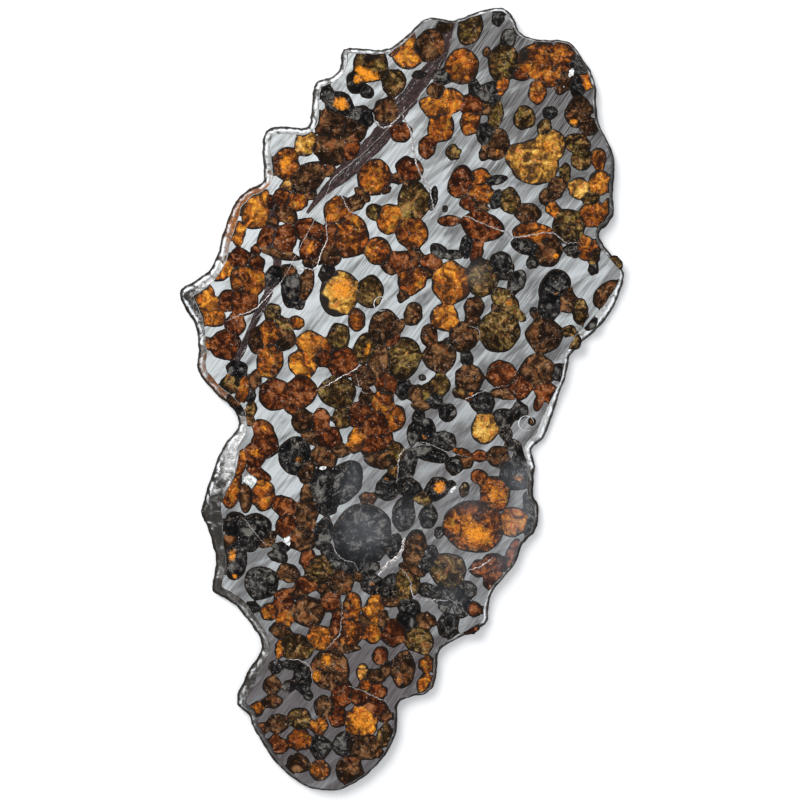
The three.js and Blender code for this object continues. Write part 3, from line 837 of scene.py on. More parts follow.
# Spots as read, each with its middle, half length, half width and strength: where light collects in a grain
# and glows, where glare off the polished face is painted on as a pale sheen, and where a dark crust lies in a
# grain.
GLOWS = np.array([
    [-18.4, 68.2, 2.6, 1.7, 1], [-21, 69.3, 1.2, 1, 0.7], [-12.7, 68, 1.4, 1.6, 0.3],
    [-21.1, 66.6, 0.9, 0.9, 0.7], [-23.2, 60.7, 2, 1.6, 1], [-32, 44.5, 1.7, 2.5, 0.8],
    [13.5, 58.8, 1, 1.6, 0.5], [28.7, 69.5, 1.2, 0.8, 0.8], [29.6, 78.8, 1, 0.9, 0.8],
    [32, 39.2, 0.9, 0.8, 0.8], [33.8, 31.2, 0.9, 0.7, 0.7], [37, 32.7, 0.8, 0.8, 0.5],
    [-27.8, 33, 1.2, 0.8, 0.6], [-22, 27.7, 1.1, 2, 0.7], [-13, 20.5, 3, 3.2, 0.9],
    [-4, 8.5, 0.8, 1.8, 0.8], [24.3, 26.3, 1.1, 0.9, 0.6], [-7.3, -1.5, 1.6, 1.6, 0.4],
    [-22.3, -14.3, 1.2, 1, 0.7], [-22.9, -20.2, 1.6, 1.4, 0.7], [-13, -19.3, 1.4, 1.4, 0.5],
    [-22.2, -43.7, 1.2, 2, 0.7], [-20.6, -48.2, 0.9, 0.8, 0.7], [-1.8, -11.5, 1.2, 1.8, 0.8],
    [13.1, -7.5, 0.9, 0.8, 0.6], [36, -11.3, 1.7, 1, 0.6], [31.5, -16.5, 1.8, 2.4, 0.7],
    [29.7, -26, 4, 2.4, 0.9], [26.5, -22.5, 2.4, 1.6, 0.5], [19.2, -17.6, 1.4, 1.6, 1],
    [9.8, -42.5, 0.7, 0.7, 0.7], [7.4, -18.8, 1.2, 0.8, 0.5], [24.5, 62.5, 3.2, 2.6, 0.6],
    [22, 56, 3, 2, 0.3], [-40.8, 9.3, 2, 3, 0.4], [4, -61.5, 1.6, 2, 0.7], [7, -62.5, 1.3, 1.3, 0.4],
    [2.6, -65.6, 1.3, 1.6, 0.7], [21, -62, 1, 0.9, 0.6], [38.4, -9, 1.1, 0.9, 0.5],
    [21.9, 84.1, 1.6, 1.3, 0.6], [16.1, 77.6, 1.5, 0.9, 0.6], [20.4, 79, 1.8, 1.3, 0.5],
    [11, 75, 0.9, 1.6, 0.4], [14.6, -73.4, 2.4, 1.8, 0.8], [4.5, 9.5, 1.6, 2.2, 0.4],
    [17, -42, 1.4, 0.9, 0.5], [-14.2, -48.5, 1, 1.4, 0.3],
])
GLARE_SPOTS = np.array([
    [5, -31, 5.4, 5.2, 0.9], [36, -11, 4, 3, 0.8], [38.5, -18, 3, 6, 1], [38, -28, 3, 6, 0.8],
    [27, -32, 7, 5, 0.4], [14, -26, 4, 4, 0.4], [28, -41, 4, 3, 0.4], [27, -20, 5, 3, 0.5],
    [15.5, 31, 2.6, 2.6, 0.5], [0, -21, 2.6, 4.5, 0.6],
])
CRUSTS = np.array([
    [-17.4, 20.6, 1.1, 2.4, 1], [-16.4, 16.4, 1.8, 1.5, 1.2], [-13.2, 14.4, 2.6, 1, 1.1],
    [-15.4, 23.4, 1.4, 0.9, 0.9], [-18.6, 72.8, 3, 1.4, 0.7], [-22, 47.6, 1.8, 1, 0.5],
    [-9.5, -3.4, 1.8, 1.6, 0.5], [14.2, 81.4, 1.5, 2.8, 0.8], [16.9, 84.6, 0.8, 1.2, 1],
    [19.7, 82.1, 0.9, 0.7, 0.9], [23.2, 77.6, 1.4, 0.7, 0.8], [12.6, 77.6, 1.2, 0.8, 0.6],
])


def spots(points, places):
    """The sum of strength exp(-(east^2 + north^2)), the way from a spot's middle in its own half sizes."""
    x, y, half_length, half_width, strength = places.T
    east, north = (points[:, :1] - x) / half_length, (points[:, 1:2] - y) / half_width
    return (strength * np.exp(-(east ** 2 + north ** 2))).sum(1)


OLIVINE = {
    # tint: the colours of its depths, its shade, its body and its bright fractures, and how clear it is
    "gold": ((0.060, 0.024, 0.005), (0.24, 0.108, 0.014), (0.52, 0.250, 0.030), (0.92, 0.56, 0.13), 0.12),
    "amber": ((0.050, 0.014, 0.002), (0.20, 0.058, 0.004), (0.46, 0.145, 0.008), (0.86, 0.36, 0.030), 0.12),
    "orange": ((0.026, 0.007, 0.002), (0.095, 0.025, 0.004), (0.25, 0.068, 0.006), (0.64, 0.21, 0.018), 0.06),
    "red": ((0.016, 0.005, 0.003), (0.046, 0.012, 0.004), (0.105, 0.028, 0.008), (0.30, 0.11, 0.040), 0),
    "brown": ((0.009, 0.005, 0.003), (0.026, 0.012, 0.006), (0.064, 0.030, 0.013), (0.22, 0.105, 0.042), 0),
    "olive": ((0.010, 0.006, 0.003), (0.034, 0.019, 0.007), (0.086, 0.050, 0.016), (0.31, 0.185, 0.060), 0),
    "black": ((0.003, 0.003, 0.003), (0.008, 0.007, 0.007), (0.025, 0.023, 0.022), (0.135, 0.126, 0.112), 0),
}
OLIVINE_GLOW = (0.80, 0.27, 0.018)
OLIVINE_RIM = (0.012, 0.009, 0.007)
OLIVINE_GREEN = (0.20, 0.155, 0.022)
OLIVINE_RUST = (0.24, 0.052, 0.008)
OLIVINE_CRACK = (0.30, 0.22, 0.16)
OLIVINE_PAINTED_GLARE = (0.20, 0.21, 0.23)
OLIVINE_CORE = 0.42
OLIVINE_SEAM = 0.3
OLIVINE_IOR = 1.67
SEAL_IOR = 1.45
SHADE_SEED = 23
chance = np.random.default_rng(SHADE_SEED)
crystal_shade = chance.normal(0, 1, len(lobe_starts))
crystal_lit_side = chance.uniform(0, 2 * np.pi, len(lobe_starts))


def olivine_finish(tint, deep, dark, body, bright, clarity):
    """Broken glassy crystal under a clear polish. How light it is at a point adds up clouds, grit, facets
    between its fractures, the grain's own shade, a lighter side of painted light and shade, and its core. Then
    come glowing spots, fractures, painted glints, crust, the dark skin at its outline and a painted glare."""
    material, place = new_finish("olivine " + tint)
    wobble = place.node("TexNoise", {"Vector": place, "Scale": 0.9, "Detail": 2}, output=1)
    bent = place.shifted(wobble, 1.0)
    mottle = place.noise(0.40, 3, 0.55, 1.4)
    grit = place.noise(1.7, 4, 0.75, 0.4)
    facet = bent.node("SeparateColor", {0: bent.cells(1.15, output=1)})
    small = bent.node("SeparateColor", {0: bent.cells(2.7, output=1)})
    # side: painted light and shade that make one side of each grain lighter than the other.
    own = place.value("shade") * 0.05 + place.value("side") * 0.15 + place.value("core") * 0.26
    light = mottle * 2.7 + grit * 1.1 + facet * 0.26 + small * 0.20 + own - 1.87
    tones = {"stops": [(0.10, deep), (0.36, dark), (0.62, body), (0.98, bright)]}
    colour = light.node("ValToRGB", {0: light}, **tones)
    hue = place.noise(0.42, 2, 0.5, 1.6)
    tinge = light.rise(0.25, 0.8)
    if tint in ("gold", "amber", "orange", "olive"):
        green = np.maximum(OLIVINE_GREEN, np.multiply(body, (0.75, 0.9, 1.2)))
        colour = (hue.rise(0.54, 0.66) * tinge * 0.55).mix(colour, green)
    if tint != "black":
        rust = np.maximum(OLIVINE_RUST, np.multiply(body, (1.1, 0.5, 0.8)))
        rust_share = 0.4 if tint in ("brown", "olive") else 0.8
        colour = (hue.rise(0.48, 0.36) * tinge * rust_share).mix(colour, rust)
    glow = place.value("glow") * (grit * 1.3 + small * 0.5 + facet * 0.2)
    colour = (glow.rise(0.32, 0.8) * 0.92).mix(colour, OLIVINE_GLOW)
    crack = bent.cells(0.95, feature="DISTANCE_TO_EDGE").rise(0.09, 0.0) * grit.rise(0.40, 0.58)
    colour = (crack * 0.75).mix(colour, deep)
    # Painted glints: small bright points where fractures catch the light.
    fleck = bent.node("SeparateColor", {0: bent.cells(4.4, output=1)})
    painted_glint = fleck.rise(0.92, 0.97) * grit.rise(0.48, 0.62) * light.rise(0.0, 0.6)
    colour = (painted_glint * 0.65).mix(colour, [0.30 + 0.70 * part for part in bright])
    skin = place.value("rim") + (mottle - 0.5) * 1.1 + (grit - 0.5) * 0.5
    colour = skin.rise(0.66, 0.30).mix(colour, OLIVINE_RIM)
    crust = place.value("crust") * (grit + 0.4)
    colour = crust.rise(0.25, 0.6).mix(colour, OLIVINE_RIM)
    hair = place.shifted(wobble, 3.5).cells(0.085, feature="DISTANCE_TO_EDGE").rise(0.008, 0.003)
    colour = (hair * grit.rise(0.45, 0.6) * 0.6).mix(colour, OLIVINE_CRACK)
    # Painted glare: a pale sheen where the polished face reflects light, mixed into the colour.
    cloud = place.value("painted_glare") * (grit * 0.35 + mottle * 0.35)
    colour = cloud.mix(colour, OLIVINE_PAINTED_GLARE)
    relief = facet * 0.5 + small * 0.3 + grit * 0.6 - crack * 0.5
    bump = relief.bump(0.5, 0.12)
    shade(material, Base_Color=colour, Roughness=0.42, Normal=bump, IOR=OLIVINE_IOR, Specular_IOR_Level=0)
    shade(material, Coat_Weight=0.1, Coat_Roughness=0.05, Coat_IOR=SEAL_IOR, Transmission_Weight=clarity)
    return material


ring_count = len(CRYSTAL_PROFILE)
share = np.append(np.repeat(CRYSTAL_PROFILE[:, 0], CRYSTAL_ANGLES), [0, 0])
turn = np.append(np.tile(angle, ring_count), [0, 0])
for tint, recipe in OLIVINE.items():
    which = np.flatnonzero(crystal_tint == tint)
    points, faces = closed_lathes(crystal_reach, which)
    mean_reach = crystal_reach[which].mean(1)[:, None]
    reach = np.hstack([np.tile(crystal_reach[which], ring_count), mean_reach, mean_reach])
    touch = np.hstack([np.tile(crystal_touch[which], ring_count), np.zeros((len(which), 2))])
    inside = (1 - share) * reach
    values = {
        "rim": (inside + OLIVINE_SEAM * touch).ravel(),
        "core": np.clip(inside / (OLIVINE_CORE * mean_reach), 0, 1).ravel(),
        # Painted light and shade: each grain is lighter towards a direction drawn for it.
        "side": (share * np.cos(turn - crystal_lit_side[which][:, None])).ravel(),
        "shade": np.repeat(crystal_shade[which], len(share)),
        "glow": spots(points, GLOWS),
        "crust": spots(points, CRUSTS),
        # Painted glare over the grains.
        "painted_glare": spots(points, GLARE_SPOTS),
    }
    piece = add_piece("olivine_" + tint, points, faces, olivine_finish(tint, *recipe), values)
    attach(piece, "root")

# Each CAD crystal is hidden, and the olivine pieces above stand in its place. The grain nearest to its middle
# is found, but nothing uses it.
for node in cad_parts:
    if node.startswith("olivine"):
        low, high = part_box(node)
        middle = np.array([(low[0] + high[0]) / 2, (low[1] + high[1]) / 2]) / MM
        nearest = np.linalg.norm(crystal_middle - middle, axis=1).argmin()
        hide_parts(node)

# The nickel-iron plate. One network of metal fills every space between the grains. Both faces are sawn, and
# the front is ground one way and polished, so it is bright with fine steep scratches. Patches of painted shade
# in its reflection darken it, and it is tarnished purple grey and painted darker towards the narrow end.
METAL_BRIGHT = (0.96, 1.0, 1.0)
METAL_GREY = (0.29, 0.287, 0.283)
METAL_DEEP = (0.050, 0.046, 0.044)
METAL_TARNISH_AND_SHADE = (0.20, 0.172, 0.178)
METAL_DARK_TARNISH_AND_SHADE = (0.110, 0.090, 0.092)
METAL_PIT = (0.03, 0.03, 0.03)
GRINDING_DEGREES = 67
PLATE_OVERLAP = 0.02
PLATE_WELD = 1e-5
METAL_TONE_REACH = 7
METAL_TONES = np.array([
    # where it was read, how much painted reflection shade dulls the metal there, how far it is tarnished and
    # painted darker
    [30, 70, 0.85, 0.3], [12, 76, 0.75, 0.15], [3, 58, 0.35, 0], [-11, 49, 0.15, 0], [-36, 22, 0, 0],
    [-14, 25, 0, 0], [10, 32, 0.22, 0], [31, 32, 0.25, 0.05], [20, 13, 0.3, 0.05], [38, 18, 0.25, 0.1],
    [-20, -3, 0.12, 0], [30, 2, 0.35, 0.35], [-15, -22, 0, 0], [17, -18, 0.25, 0.6], [30, -8, 0.2, 0.4],
    [-18, -45, 0.3, 0.15], [-1, -52, 0.45, 0.5], [15, -60, 0.5, 0.95], [32, -43, 0.3, 0.4],
    [-3, -68, 0.5, 0.9], [8, -84, 0.5, 0.9], [-24, 62, 0.1, 0], [38, 45, 0.3, 0.1],
])


def pierced_face(edge, height, up):
    """The face inside the edge and outside every grain: a constrained Delaunay triangulation of all
    outlines, less the triangles that lie in any grain's own loop. It looks up or down."""
    loops = [edge, *loop_points(crystal_reach - PLATE_OVERLAP)]
    first = np.cumsum([0] + [len(loop) for loop in loops])
    faces = [list(range(first[place], first[place + 1])) for place in range(len(loops))]
    corners = [Vector(point) for point in np.concatenate(loops).tolist()]
    flat, _, triangles, _, _, owners = delaunay_2d_cdt(corners, [], faces, 1, PLATE_WELD)
    points = np.column_stack([np.array(flat), np.full(len(flat), height)])
    kept = [triangle for triangle, loop in zip(triangles, owners) if loop == [0]]
    return points, kept if up else [triangle[::-1] for triangle in kept]


def metal_finish():
    """Ground metal: broad and fine streaks along the grinding, darker patches, patches of painted reflection
    shade, tarnish with painted shade that deepens towards the narrow end, and small dark pits."""
    material, place = new_finish("nickel iron")
    broad = place.turned(GRINDING_DEGREES, (20, 0.55, 1)).noise(1, 3, 0.6, 0.1)
    fine = place.turned(GRINDING_DEGREES + 3, (9, 0.17, 1)).noise(1, 2, 0.65)
    patch = place.turned(GRINDING_DEGREES - 12, (11, 3.2, 1)).noise(1, 3, 0.55, 0.8)
    # Painted reflection shade: broad patches where the metal reflects more or less light are painted darker or
    # lighter.
    reflection_shade = place.value("reflection_shade")
    grey = (broad * 0.9 + fine * 0.7 + patch * 1.1 + reflection_shade * 0.55).rise(1.12, 1.74)
    streak = (fine * 0.8 + broad * 0.6).rise(0.60, 0.84)
    colour = grey.mix(METAL_BRIGHT, streak.mix(METAL_DEEP, METAL_GREY))
    # Tarnish with painted shade: the metal is tinted purple grey and painted darker towards the narrow end.
    tarnish_and_shade = place.value("tarnish_and_shade") * (patch * 0.7 + broad * 0.2 + 0.45)
    colour = tarnish_and_shade.mix(colour, streak.mix(METAL_DARK_TARNISH_AND_SHADE, METAL_TARNISH_AND_SHADE))
    pit = place.cells(0.55).rise(0.10, 0.04) * patch.rise(0.5, 0.62)
    colour = pit.mix(colour, METAL_PIT)
    relief = fine * 0.6 + broad * 0.4 - pit * 1.5
    rough = grey * 0.16 + 0.27
    shade(material, Base_Color=colour, Metallic=1.0, Roughness=rough, Normal=relief.bump(0.3, 0.05))
    return material


front_points, front_faces = pierced_face(front_edge, THICKNESS, True)
back_points, back_faces = pierced_face(back_edge, 0, False)
plate_faces = front_faces + [[corner + len(front_points) for corner in face] for face in back_faces]
plate_points = np.concatenate([front_points, back_points])
plate_tones = blended(plate_points[:, :2], METAL_TONES, METAL_TONE_REACH)
plate_values = dict(zip(("reflection_shade", "tarnish_and_shade"), plate_tones.T))
plate = add_piece("nickel_iron_faces", plate_points, plate_faces, metal_finish(), plate_values, smooth=False)
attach(plate, "root")
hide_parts("nickel_iron_plate")

# The natural edge. The slice was cut from a weathered stone and keeps its broken rim: glossy where it was
# sealed, silvery where metal shows, orange and brown where grains are cut by it, and dark in its hollows.
EDGE_PROFILE = np.array([
    # share of the way out from the polished face to the widest line, height as a share of the thickness
    [0, 1], [0.06, 0.985], [0.2, 0.93], [0.4, 0.82], [0.6, 0.68], [0.8, 0.52], [0.94, 0.38], [1, 0.28],
])
EDGE_UNDER = np.array([
    # share of the way in from there to the back face, height as a share of the thickness
    [0.15, 0.18], [0.45, 0.08], [1, 0],
])
EDGE_ROUGH = 0.1
EDGE_ROUGH_WIDTH = 1.4
# Ripples of the broken edge: how many go round the slice, and how fast each drifts from row to row.
EDGE_RIPPLES = ((173, 1.0), (241, -1.4), (307, 0.6), (401, -0.8), (131, 0.4))
EDGE_DRIFT = 0.9
EDGE_STONE = (0.060, 0.050, 0.043)
EDGE_PALE_STONE = (0.23, 0.205, 0.18)
EDGE_SILVER = (0.44, 0.44, 0.43)
EDGE_RUST = (0.10, 0.030, 0.008)
EDGE_AMBER = (0.42, 0.15, 0.025)
EDGE_CRUST = (0.020, 0.017, 0.014)
EDGE_PAINTED_HIGHLIGHT = (0.95, 0.97, 1.0)
EDGE_OUTER_SHADE = (0.020, 0.016, 0.013)
EDGE_INNER_LINE = (0.02, 0.018, 0.016)
# Patches of the edge as read: x, y, then how silvery, how rusty and how dark it is there.
EDGE_PATCHES = np.array([
    [7, 90, 0.9, 0, 0.2], [14, 86, 0.3, 0.2, 0.7], [24, 86, 0.2, 0.7, 0.4], [31, 79, 0.7, 0, 0.4],
    [34, 70, 0.1, 0.1, 1], [41, 57, 0.1, 0.3, 0.9], [42, 47, 0.1, 0.1, 1], [47, 39, 0.6, 0, 0.5],
    [47.5, 31, 0.7, 0, 0.3], [44, 24, 0.9, 0, 0.1], [41, 14, 0.6, 0, 0.5], [40, 4, 1, 0, 0],
    [38.5, -4, 0.9, 0, 0.2], [40, -12, 0.1, 0.2, 0.9], [42.5, -20, 0.3, 0, 0.7], [40, -29, 0.1, 0.5, 0.7],
    [37, -38, 0.5, 0, 0.5], [36, -45, 0.7, 0, 0.3], [29, -53, 0.4, 0.2, 0.6], [28.5, -60, 0.1, 0.8, 0.4],
    [22.5, -69, 0.3, 0, 0.8], [22, -79, 0, 0.2, 1], [12, -90, 0, 0.2, 1], [-6, -82, 0.1, 0.3, 0.9],
    [-13, -72, 0.4, 0, 0.8], [-12, -64, 0.3, 0.2, 0.7], [-16, -57, 0.3, 0.4, 0.6],
    [-24.5, -51, 0.1, 0.5, 0.9], [-27, -43, 0.2, 0.4, 0.8], [-31.5, -35, 0.1, 0.5, 1],
    [-31.5, -27, 0.8, 0, 0.8], [-30, -20, 0.9, 0.1, 0.2], [-28.5, -14, 0.7, 0.3, 0.2],
    [-34, -9.5, 0.2, 1, 0.3], [-40, -5, 0.3, 0.7, 0.4], [-41.5, 1, 0.6, 0.3, 0.3], [-45, 6, 0.7, 0, 1],
    [-48, 10, 0.7, 0, 1], [-45, 15, 0.8, 0.3, 0.7], [-42, 22, 0.7, 0.5, 0.4], [-41.5, 30, 0.3, 1, 0.1],
    [-38, 38, 0.3, 0.9, 0.2], [-37.5, 46, 1, 0.1, 0.5], [-36, 52.5, 0.8, 0, 0.5], [-30, 54, 0.6, 0.1, 0.4],
    [-29.5, 61, 1, 0, 0.5], [-27, 67, 0.8, 0.1, 0.4], [-25.5, 72, 0.6, 0.1, 0.6], [-18, 75, 0.7, 0.2, 0.5],
    [-12.5, 79, 0.4, 0.7, 0.3], [-8, 85, 0.3, 0.2, 0.7], [0, 88, 0.5, 0.2, 0.5],
])


def edge_skin():
    """A grid right round the slice: from the polished face out to the widest line by EDGE_PROFILE, then in
    under it to the back face. A mean of sines round the slice, which fade at both faces, pushes it in and
    out. Also gives each point's distances from the polished face's edge and from the widest line."""
    out, out_height = EDGE_PROFILE.T[:, :, None]
    under, under_height = EDGE_UNDER.T[:, :, None]
    width = np.concatenate([edge_width * (1 - out), BACK_INSET * under + 0 * around])
    height = np.concatenate([out_height + 0 * around, under_height + 0 * around])
    drift = np.arange(len(width))[:, None] * EDGE_DRIFT
    rough = sum(np.sin(2 * np.pi * (wave * around) + drift * turn + wave) for wave, turn in EDGE_RIPPLES)
    free = np.sin(np.pi * np.clip(height, 0, 1)) ** 0.5
    depth = EDGE_ROUGH * (rough / len(EDGE_RIPPLES)) * free
    width = width + depth * np.minimum(edge_width, EDGE_ROUGH_WIDTH)
    flat = widest[None] + inward(widest)[None] * width[..., None]
    points = np.concatenate([flat, (height * THICKNESS)[..., None]], 2)
    here = np.arange(points.shape[0] * points.shape[1]).reshape(points.shape[:2])
    beside = np.roll(here, -1, 1)
    faces = np.stack([here[:-1], here[1:], beside[1:], beside[:-1]], 2).reshape(-1, 4)
    from_face = np.concatenate([edge_width * out, edge_width + 0 * under])
    from_outline = np.concatenate([edge_width * (1 - out), 0 * (around + under)])
    return points.reshape(-1, 3), faces.tolist(), {"from_face": from_face, "from_outline": from_outline}


def edge_finish():
    """The mixed rim: silver metal, rust and amber crystal, and dark crust, each where it was read and
    broken up by noise. A painted highlight lies along its shoulder, painted shade darkens it to its outer line,
    and in places it darkens along its border with the polished face. It has a glossy seal."""
    material, place = new_finish("natural edge")
    coarse = place.noise(0.35, 4, 0.62, 1.2)
    fine = place.noise(1.5, 4, 0.7, 0.4)
    silver = (place.value("silver") * 0.8 + coarse * 1.5 + fine * 0.5).rise(1.15, 1.70)
    rust = (place.value("rust") * 0.9 - coarse * 0.8 + fine * 0.6 + 0.6).rise(0.85, 1.25)
    dark = (place.value("dark") * 0.8 + fine * 1.1 - coarse * 1.3 + 0.22).rise(0.40, 0.90)
    colour = fine.rise(0.35, 0.65).mix(EDGE_STONE, EDGE_PALE_STONE)
    colour = silver.mix(colour, EDGE_SILVER)
    colour = rust.mix(colour, fine.rise(0.4, 0.7).mix(EDGE_RUST, EDGE_AMBER))
    colour = dark.mix(colour, EDGE_CRUST)
    rim = place.value("from_outline") + (fine - 0.5) * 0.4 + (coarse - 0.5) * 1.0
    # Painted shade: the edge darkens towards its outer line, where the steep side turns away from the light.
    outer_shade = rim.rise(0.85, 0.40)
    # Painted highlight: a bright line where the rounded shoulder reflects the light.
    painted_highlight = rim.rise(0.60, 0.90) * rim.rise(1.50, 1.05) * silver * coarse.rise(0.42, 0.52)
    colour = (painted_highlight * 0.85).mix(colour, EDGE_PAINTED_HIGHLIGHT)
    inner = (place.value("from_face") + (fine - 0.5) * 0.4).rise(0.26, 0.04) * coarse.rise(0.40, 0.60)
    colour = (outer_shade * 0.95).mix(colour, EDGE_OUTER_SHADE)
    colour = (inner * 0.8).mix(colour, EDGE_INNER_LINE)
    metal = silver * (1 - dark) * (1 - outer_shade)
    gloss = (1 - outer_shade) * 0.55
    rough = fine * 0.3 + 0.2 + outer_shade * 0.5
    bump = (coarse + fine * 0.25).bump(0.6, 0.5)
    shade(material, Base_Color=colour, Metallic=metal * 0.6, Roughness=rough, Normal=bump)
    shade(material, Coat_Weight=gloss, Coat_Roughness=0.05, Specular_IOR_Level=0.05)
    return material


edge_points, edge_faces, edge_distances = edge_skin()
edge_values = {name: distance.ravel() for name, distance in edge_distances.items()}
edge_read = blended(edge_points[:, :2], EDGE_PATCHES, EDGE_WIDTH_REACH)
edge_values |= dict(zip(("silver", "rust", "dark"), edge_read.T))
edge = add_piece("natural_edge", edge_points, edge_faces, edge_finish(), edge_values)
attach(edge, "root")

# The iron sulphide bands. Two dark seams of troilite run between the grains of the left half, down from the
# broad end. They are flush with the metal, purple brown and half glossy, and hold thin silver lines.
SULPHIDE_BANDS = {
    "sulphide_band_long": [
        # places along the band's middle line, and its half width there
        [-3.3, 84.5, 1.0], [-4, 78, 1.8], [-5.5, 73, 2.2], [-8.5, 66.5, 2.4], [-10.7, 61, 2.6],
        [-13.3, 54.5, 2.7], [-17, 48.5, 2.5], [-20, 44, 2.0], [-22.6, 39.5, 1.1], [-24.6, 35, 0.6],
    ],
    "sulphide_band_short": [
        [-32, 35, 0.9], [-31.3, 29.3, 1.4], [-30, 25.3, 1.5], [-28.3, 22.7, 1.3], [-28.7, 17.7, 1.4],
        [-28.9, 14.3, 1.3], [-30, 9.3, 1.1], [-31, 4.3, 1.0], [-31.3, 1, 0.9], [-32.7, -3.3, 0.5],
    ],
}
SULPHIDE_DARK = (0.010, 0.006, 0.006)
SULPHIDE_PURPLE = (0.052, 0.027, 0.025)
SULPHIDE_SILVER = (0.5, 0.5, 0.5)
SULPHIDE_DEGREES = 62
SULPHIDE_STEPS = 8
SULPHIDE_LIFT = 0.004
SULPHIDE_RAGGED = 0.16
SULPHIDE_SEED = 40
RIBBON_ACROSS = np.array([-1, -0.6, 0, 0.6, 1])
RIBBON_SINK = 0.01


def smooth_line(points, steps):
    """The open curve through rows of values, made of cubics, with its ends drawn on in line."""
    points = np.asarray(points, float)
    padded = np.concatenate([2 * points[:1] - points[1:2], points, 2 * points[-1:] - points[-2:-1]])
    curve = cubic_between(*(padded[shift:len(padded) - 3 + shift, None] for shift in range(4)), steps)
    return np.concatenate([curve, points[-1:]])


def ribbon(line, lift, ragged, seed):
    """A strip on the polished face along a line of x, y and half width, each side made ragged by seeded
    steps. It stands lift (2 - across^2) above the face, and its two sides are sunk in by RIBBON_SINK."""
    path, half = line[:, :2], line[:, 2]
    along = np.gradient(path, axis=0)
    along /= np.linalg.norm(along, axis=1)[:, None]
    side = np.stack([-along[:, 1], along[:, 0]], 1)
    chance = np.random.default_rng(seed)
    waves = chance.normal(0, 1, (2, len(line)))
    waves = (waves + np.roll(waves, 1, 1) + np.roll(waves, -1, 1)) / 3
    across = RIBBON_ACROSS
    reach = half * (1 + ragged * np.where(across[:, None] < 0, waves[0], waves[1]))
    flat = path[None] + side[None] * (across[:, None] * reach)[..., None]
    height = THICKNESS + lift * (1 - across ** 2) + np.where(np.abs(across) == 1, -RIBBON_SINK, lift)
    points = np.concatenate([flat, np.broadcast_to(height[:, None, None], (*flat.shape[:2], 1))], 2)
    here = np.arange(points.shape[0] * points.shape[1]).reshape(points.shape[:2])
    faces = np.stack([here[1:, :-1], here[1:, 1:], here[:-1, 1:], here[:-1, :-1]], 2).reshape(-1, 4)
    return points.reshape(-1, 3), faces


def sulphide_finish():
    """Purple brown sulphide with darker mottling, hairline silver cracks along the band and a half gloss."""
    material, place = new_finish("iron sulphide")
    cloud = place.noise(0.7, 4, 0.65, 0.7)
    grit = place.noise(3.0, 3, 0.6)
    colour = (cloud * 0.7 + grit * 0.4).rise(0.4, 0.72).mix(SULPHIDE_DARK, SULPHIDE_PURPLE)
    line = place.turned(SULPHIDE_DEGREES, (12, 0.8, 1)).noise(1.0, 2, 0.5, 0.4)
    bright = line.math("ABSOLUTE", line - 0.5).rise(0.012, 0.003)
    colour = (bright * grit.rise(0.45, 0.6) * 0.8).mix(colour, SULPHIDE_SILVER)
    shade(material, Base_Color=colour, Roughness=grit * 0.3 + 0.35, Specular_IOR_Level=0.15)
    shade(material, Normal=grit.bump(0.4, 0.05))
    return material


sulphide = sulphide_finish()
for place, (name, line) in enumerate(SULPHIDE_BANDS.items()):
    line = smooth_line(line, SULPHIDE_STEPS)
    points, faces = ribbon(line, SULPHIDE_LIFT, SULPHIDE_RAGGED, SULPHIDE_SEED + place)
    band = add_piece(name, points, faces.tolist(), sulphide)
    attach(band, "root")

# The thin bright veins. Metal has filled old cracks that cross metal, grains and bands alike. Each vein
# stands a hair proud, so it catches the light. A row holds its half width as read, then x and y along it.
BRIGHT_VEINS = [
    (0.13, [-36.5, 7, -33.5, 9.3, -31.5, 10.5, -29.5, 13, -27.5, 17, -26.3, 19]),
    (0.16, [-26.7, 23.3, -25, 23, -23.3, 22, -21.7, 23, -19.7, 23.2, -19.3, 27.3, -18.8, 30.3, -19.7, 33.3,
        -20, 34.7]),
    (0.16, [-21, 40.5, -18, 40.5, -16.7, 39, -15.3, 37.8, -13.3, 37.3]),
    (0.15, [-12.8, -3.3, -10, -0.7, -8, 1.3, -5.3, 3.7, -5, 5.3]),
    (0.12, [-5.3, 2.7, -3.3, -0.7, -1.3, -1.2]),
    (0.26, [-9.5, 62, -8, 60.3, -6.3, 58.3, -5, 55, -3.7, 52.3, -1.7, 49.3, 0.3, 47.7, 2, 44.7, 3, 42.3]),
    (0.2, [8.3, 42, 10, 43, 14, 42.3, 19.7, 41.7, 22, 41, 25.3, 42.3, 30, 44, 33.3, 42.7, 36.3, 43.3]),
    (0.11, [15, 0.7, 18.7, 1.7, 21.3, 4, 24, 6, 25.7, 7, 28.7, 8.3]),
    (0.1, [16.7, 19.3, 19.3, 18.7, 20, 16.7]),
    (0.1, [12.3, -9, 14.3, -8.7, 20, -9.7, 24.7, -9.3]),
    (0.12, [9.7, -10.7, 8.8, -13.3, 9.3, -16.7, 9.7, -19.3]),
    (0.12, [-1, -35.3, 0, -37.3, 2.3, -38.7, 4.3, -38.7, 6, -40]),
    (0.5, [14.3, -30.7, 14.3, -34.3, 12.3, -37.3, 10.7, -40]),
    (0.16, [14, -37, 16, -38, 18, -39.7, 18.7, -41.7, 20, -43, 22.7, -43, 25.3, -42.3, 28.3, -41.7, 30,
        -43]),
    (0.15, [30.2, -34.3, 33.3, -32, 34.7, -30]),
    (0.12, [-21.7, -35, -19.3, -37, -16.7, -39, -15.3, -39.7]),
    (0.12, [4.3, -48, 5, -52, 5.3, -55.3, 3.3, -59.3]),
    (0.14, [-6, -63.5, 0, -63.3, 2.3, -67.3]),
    (0.13, [10.3, -66, 14, -66.3, 16.7, -67, 19.7, -67.3]),
    (0.06, [-33, 2.3, -29.3, 10.7, -27.3, 16, -24, 28, -21.5, 40, -20.7, 44, -15, 52, -10, 60.5, -5.7, 68,
        -3.3, 74]),
    (0.18, [-15.8, 60.6, -14.6, 58.6, -12.6, 57.8, -10.9, 59.2, -9.6, 61.6]),
]
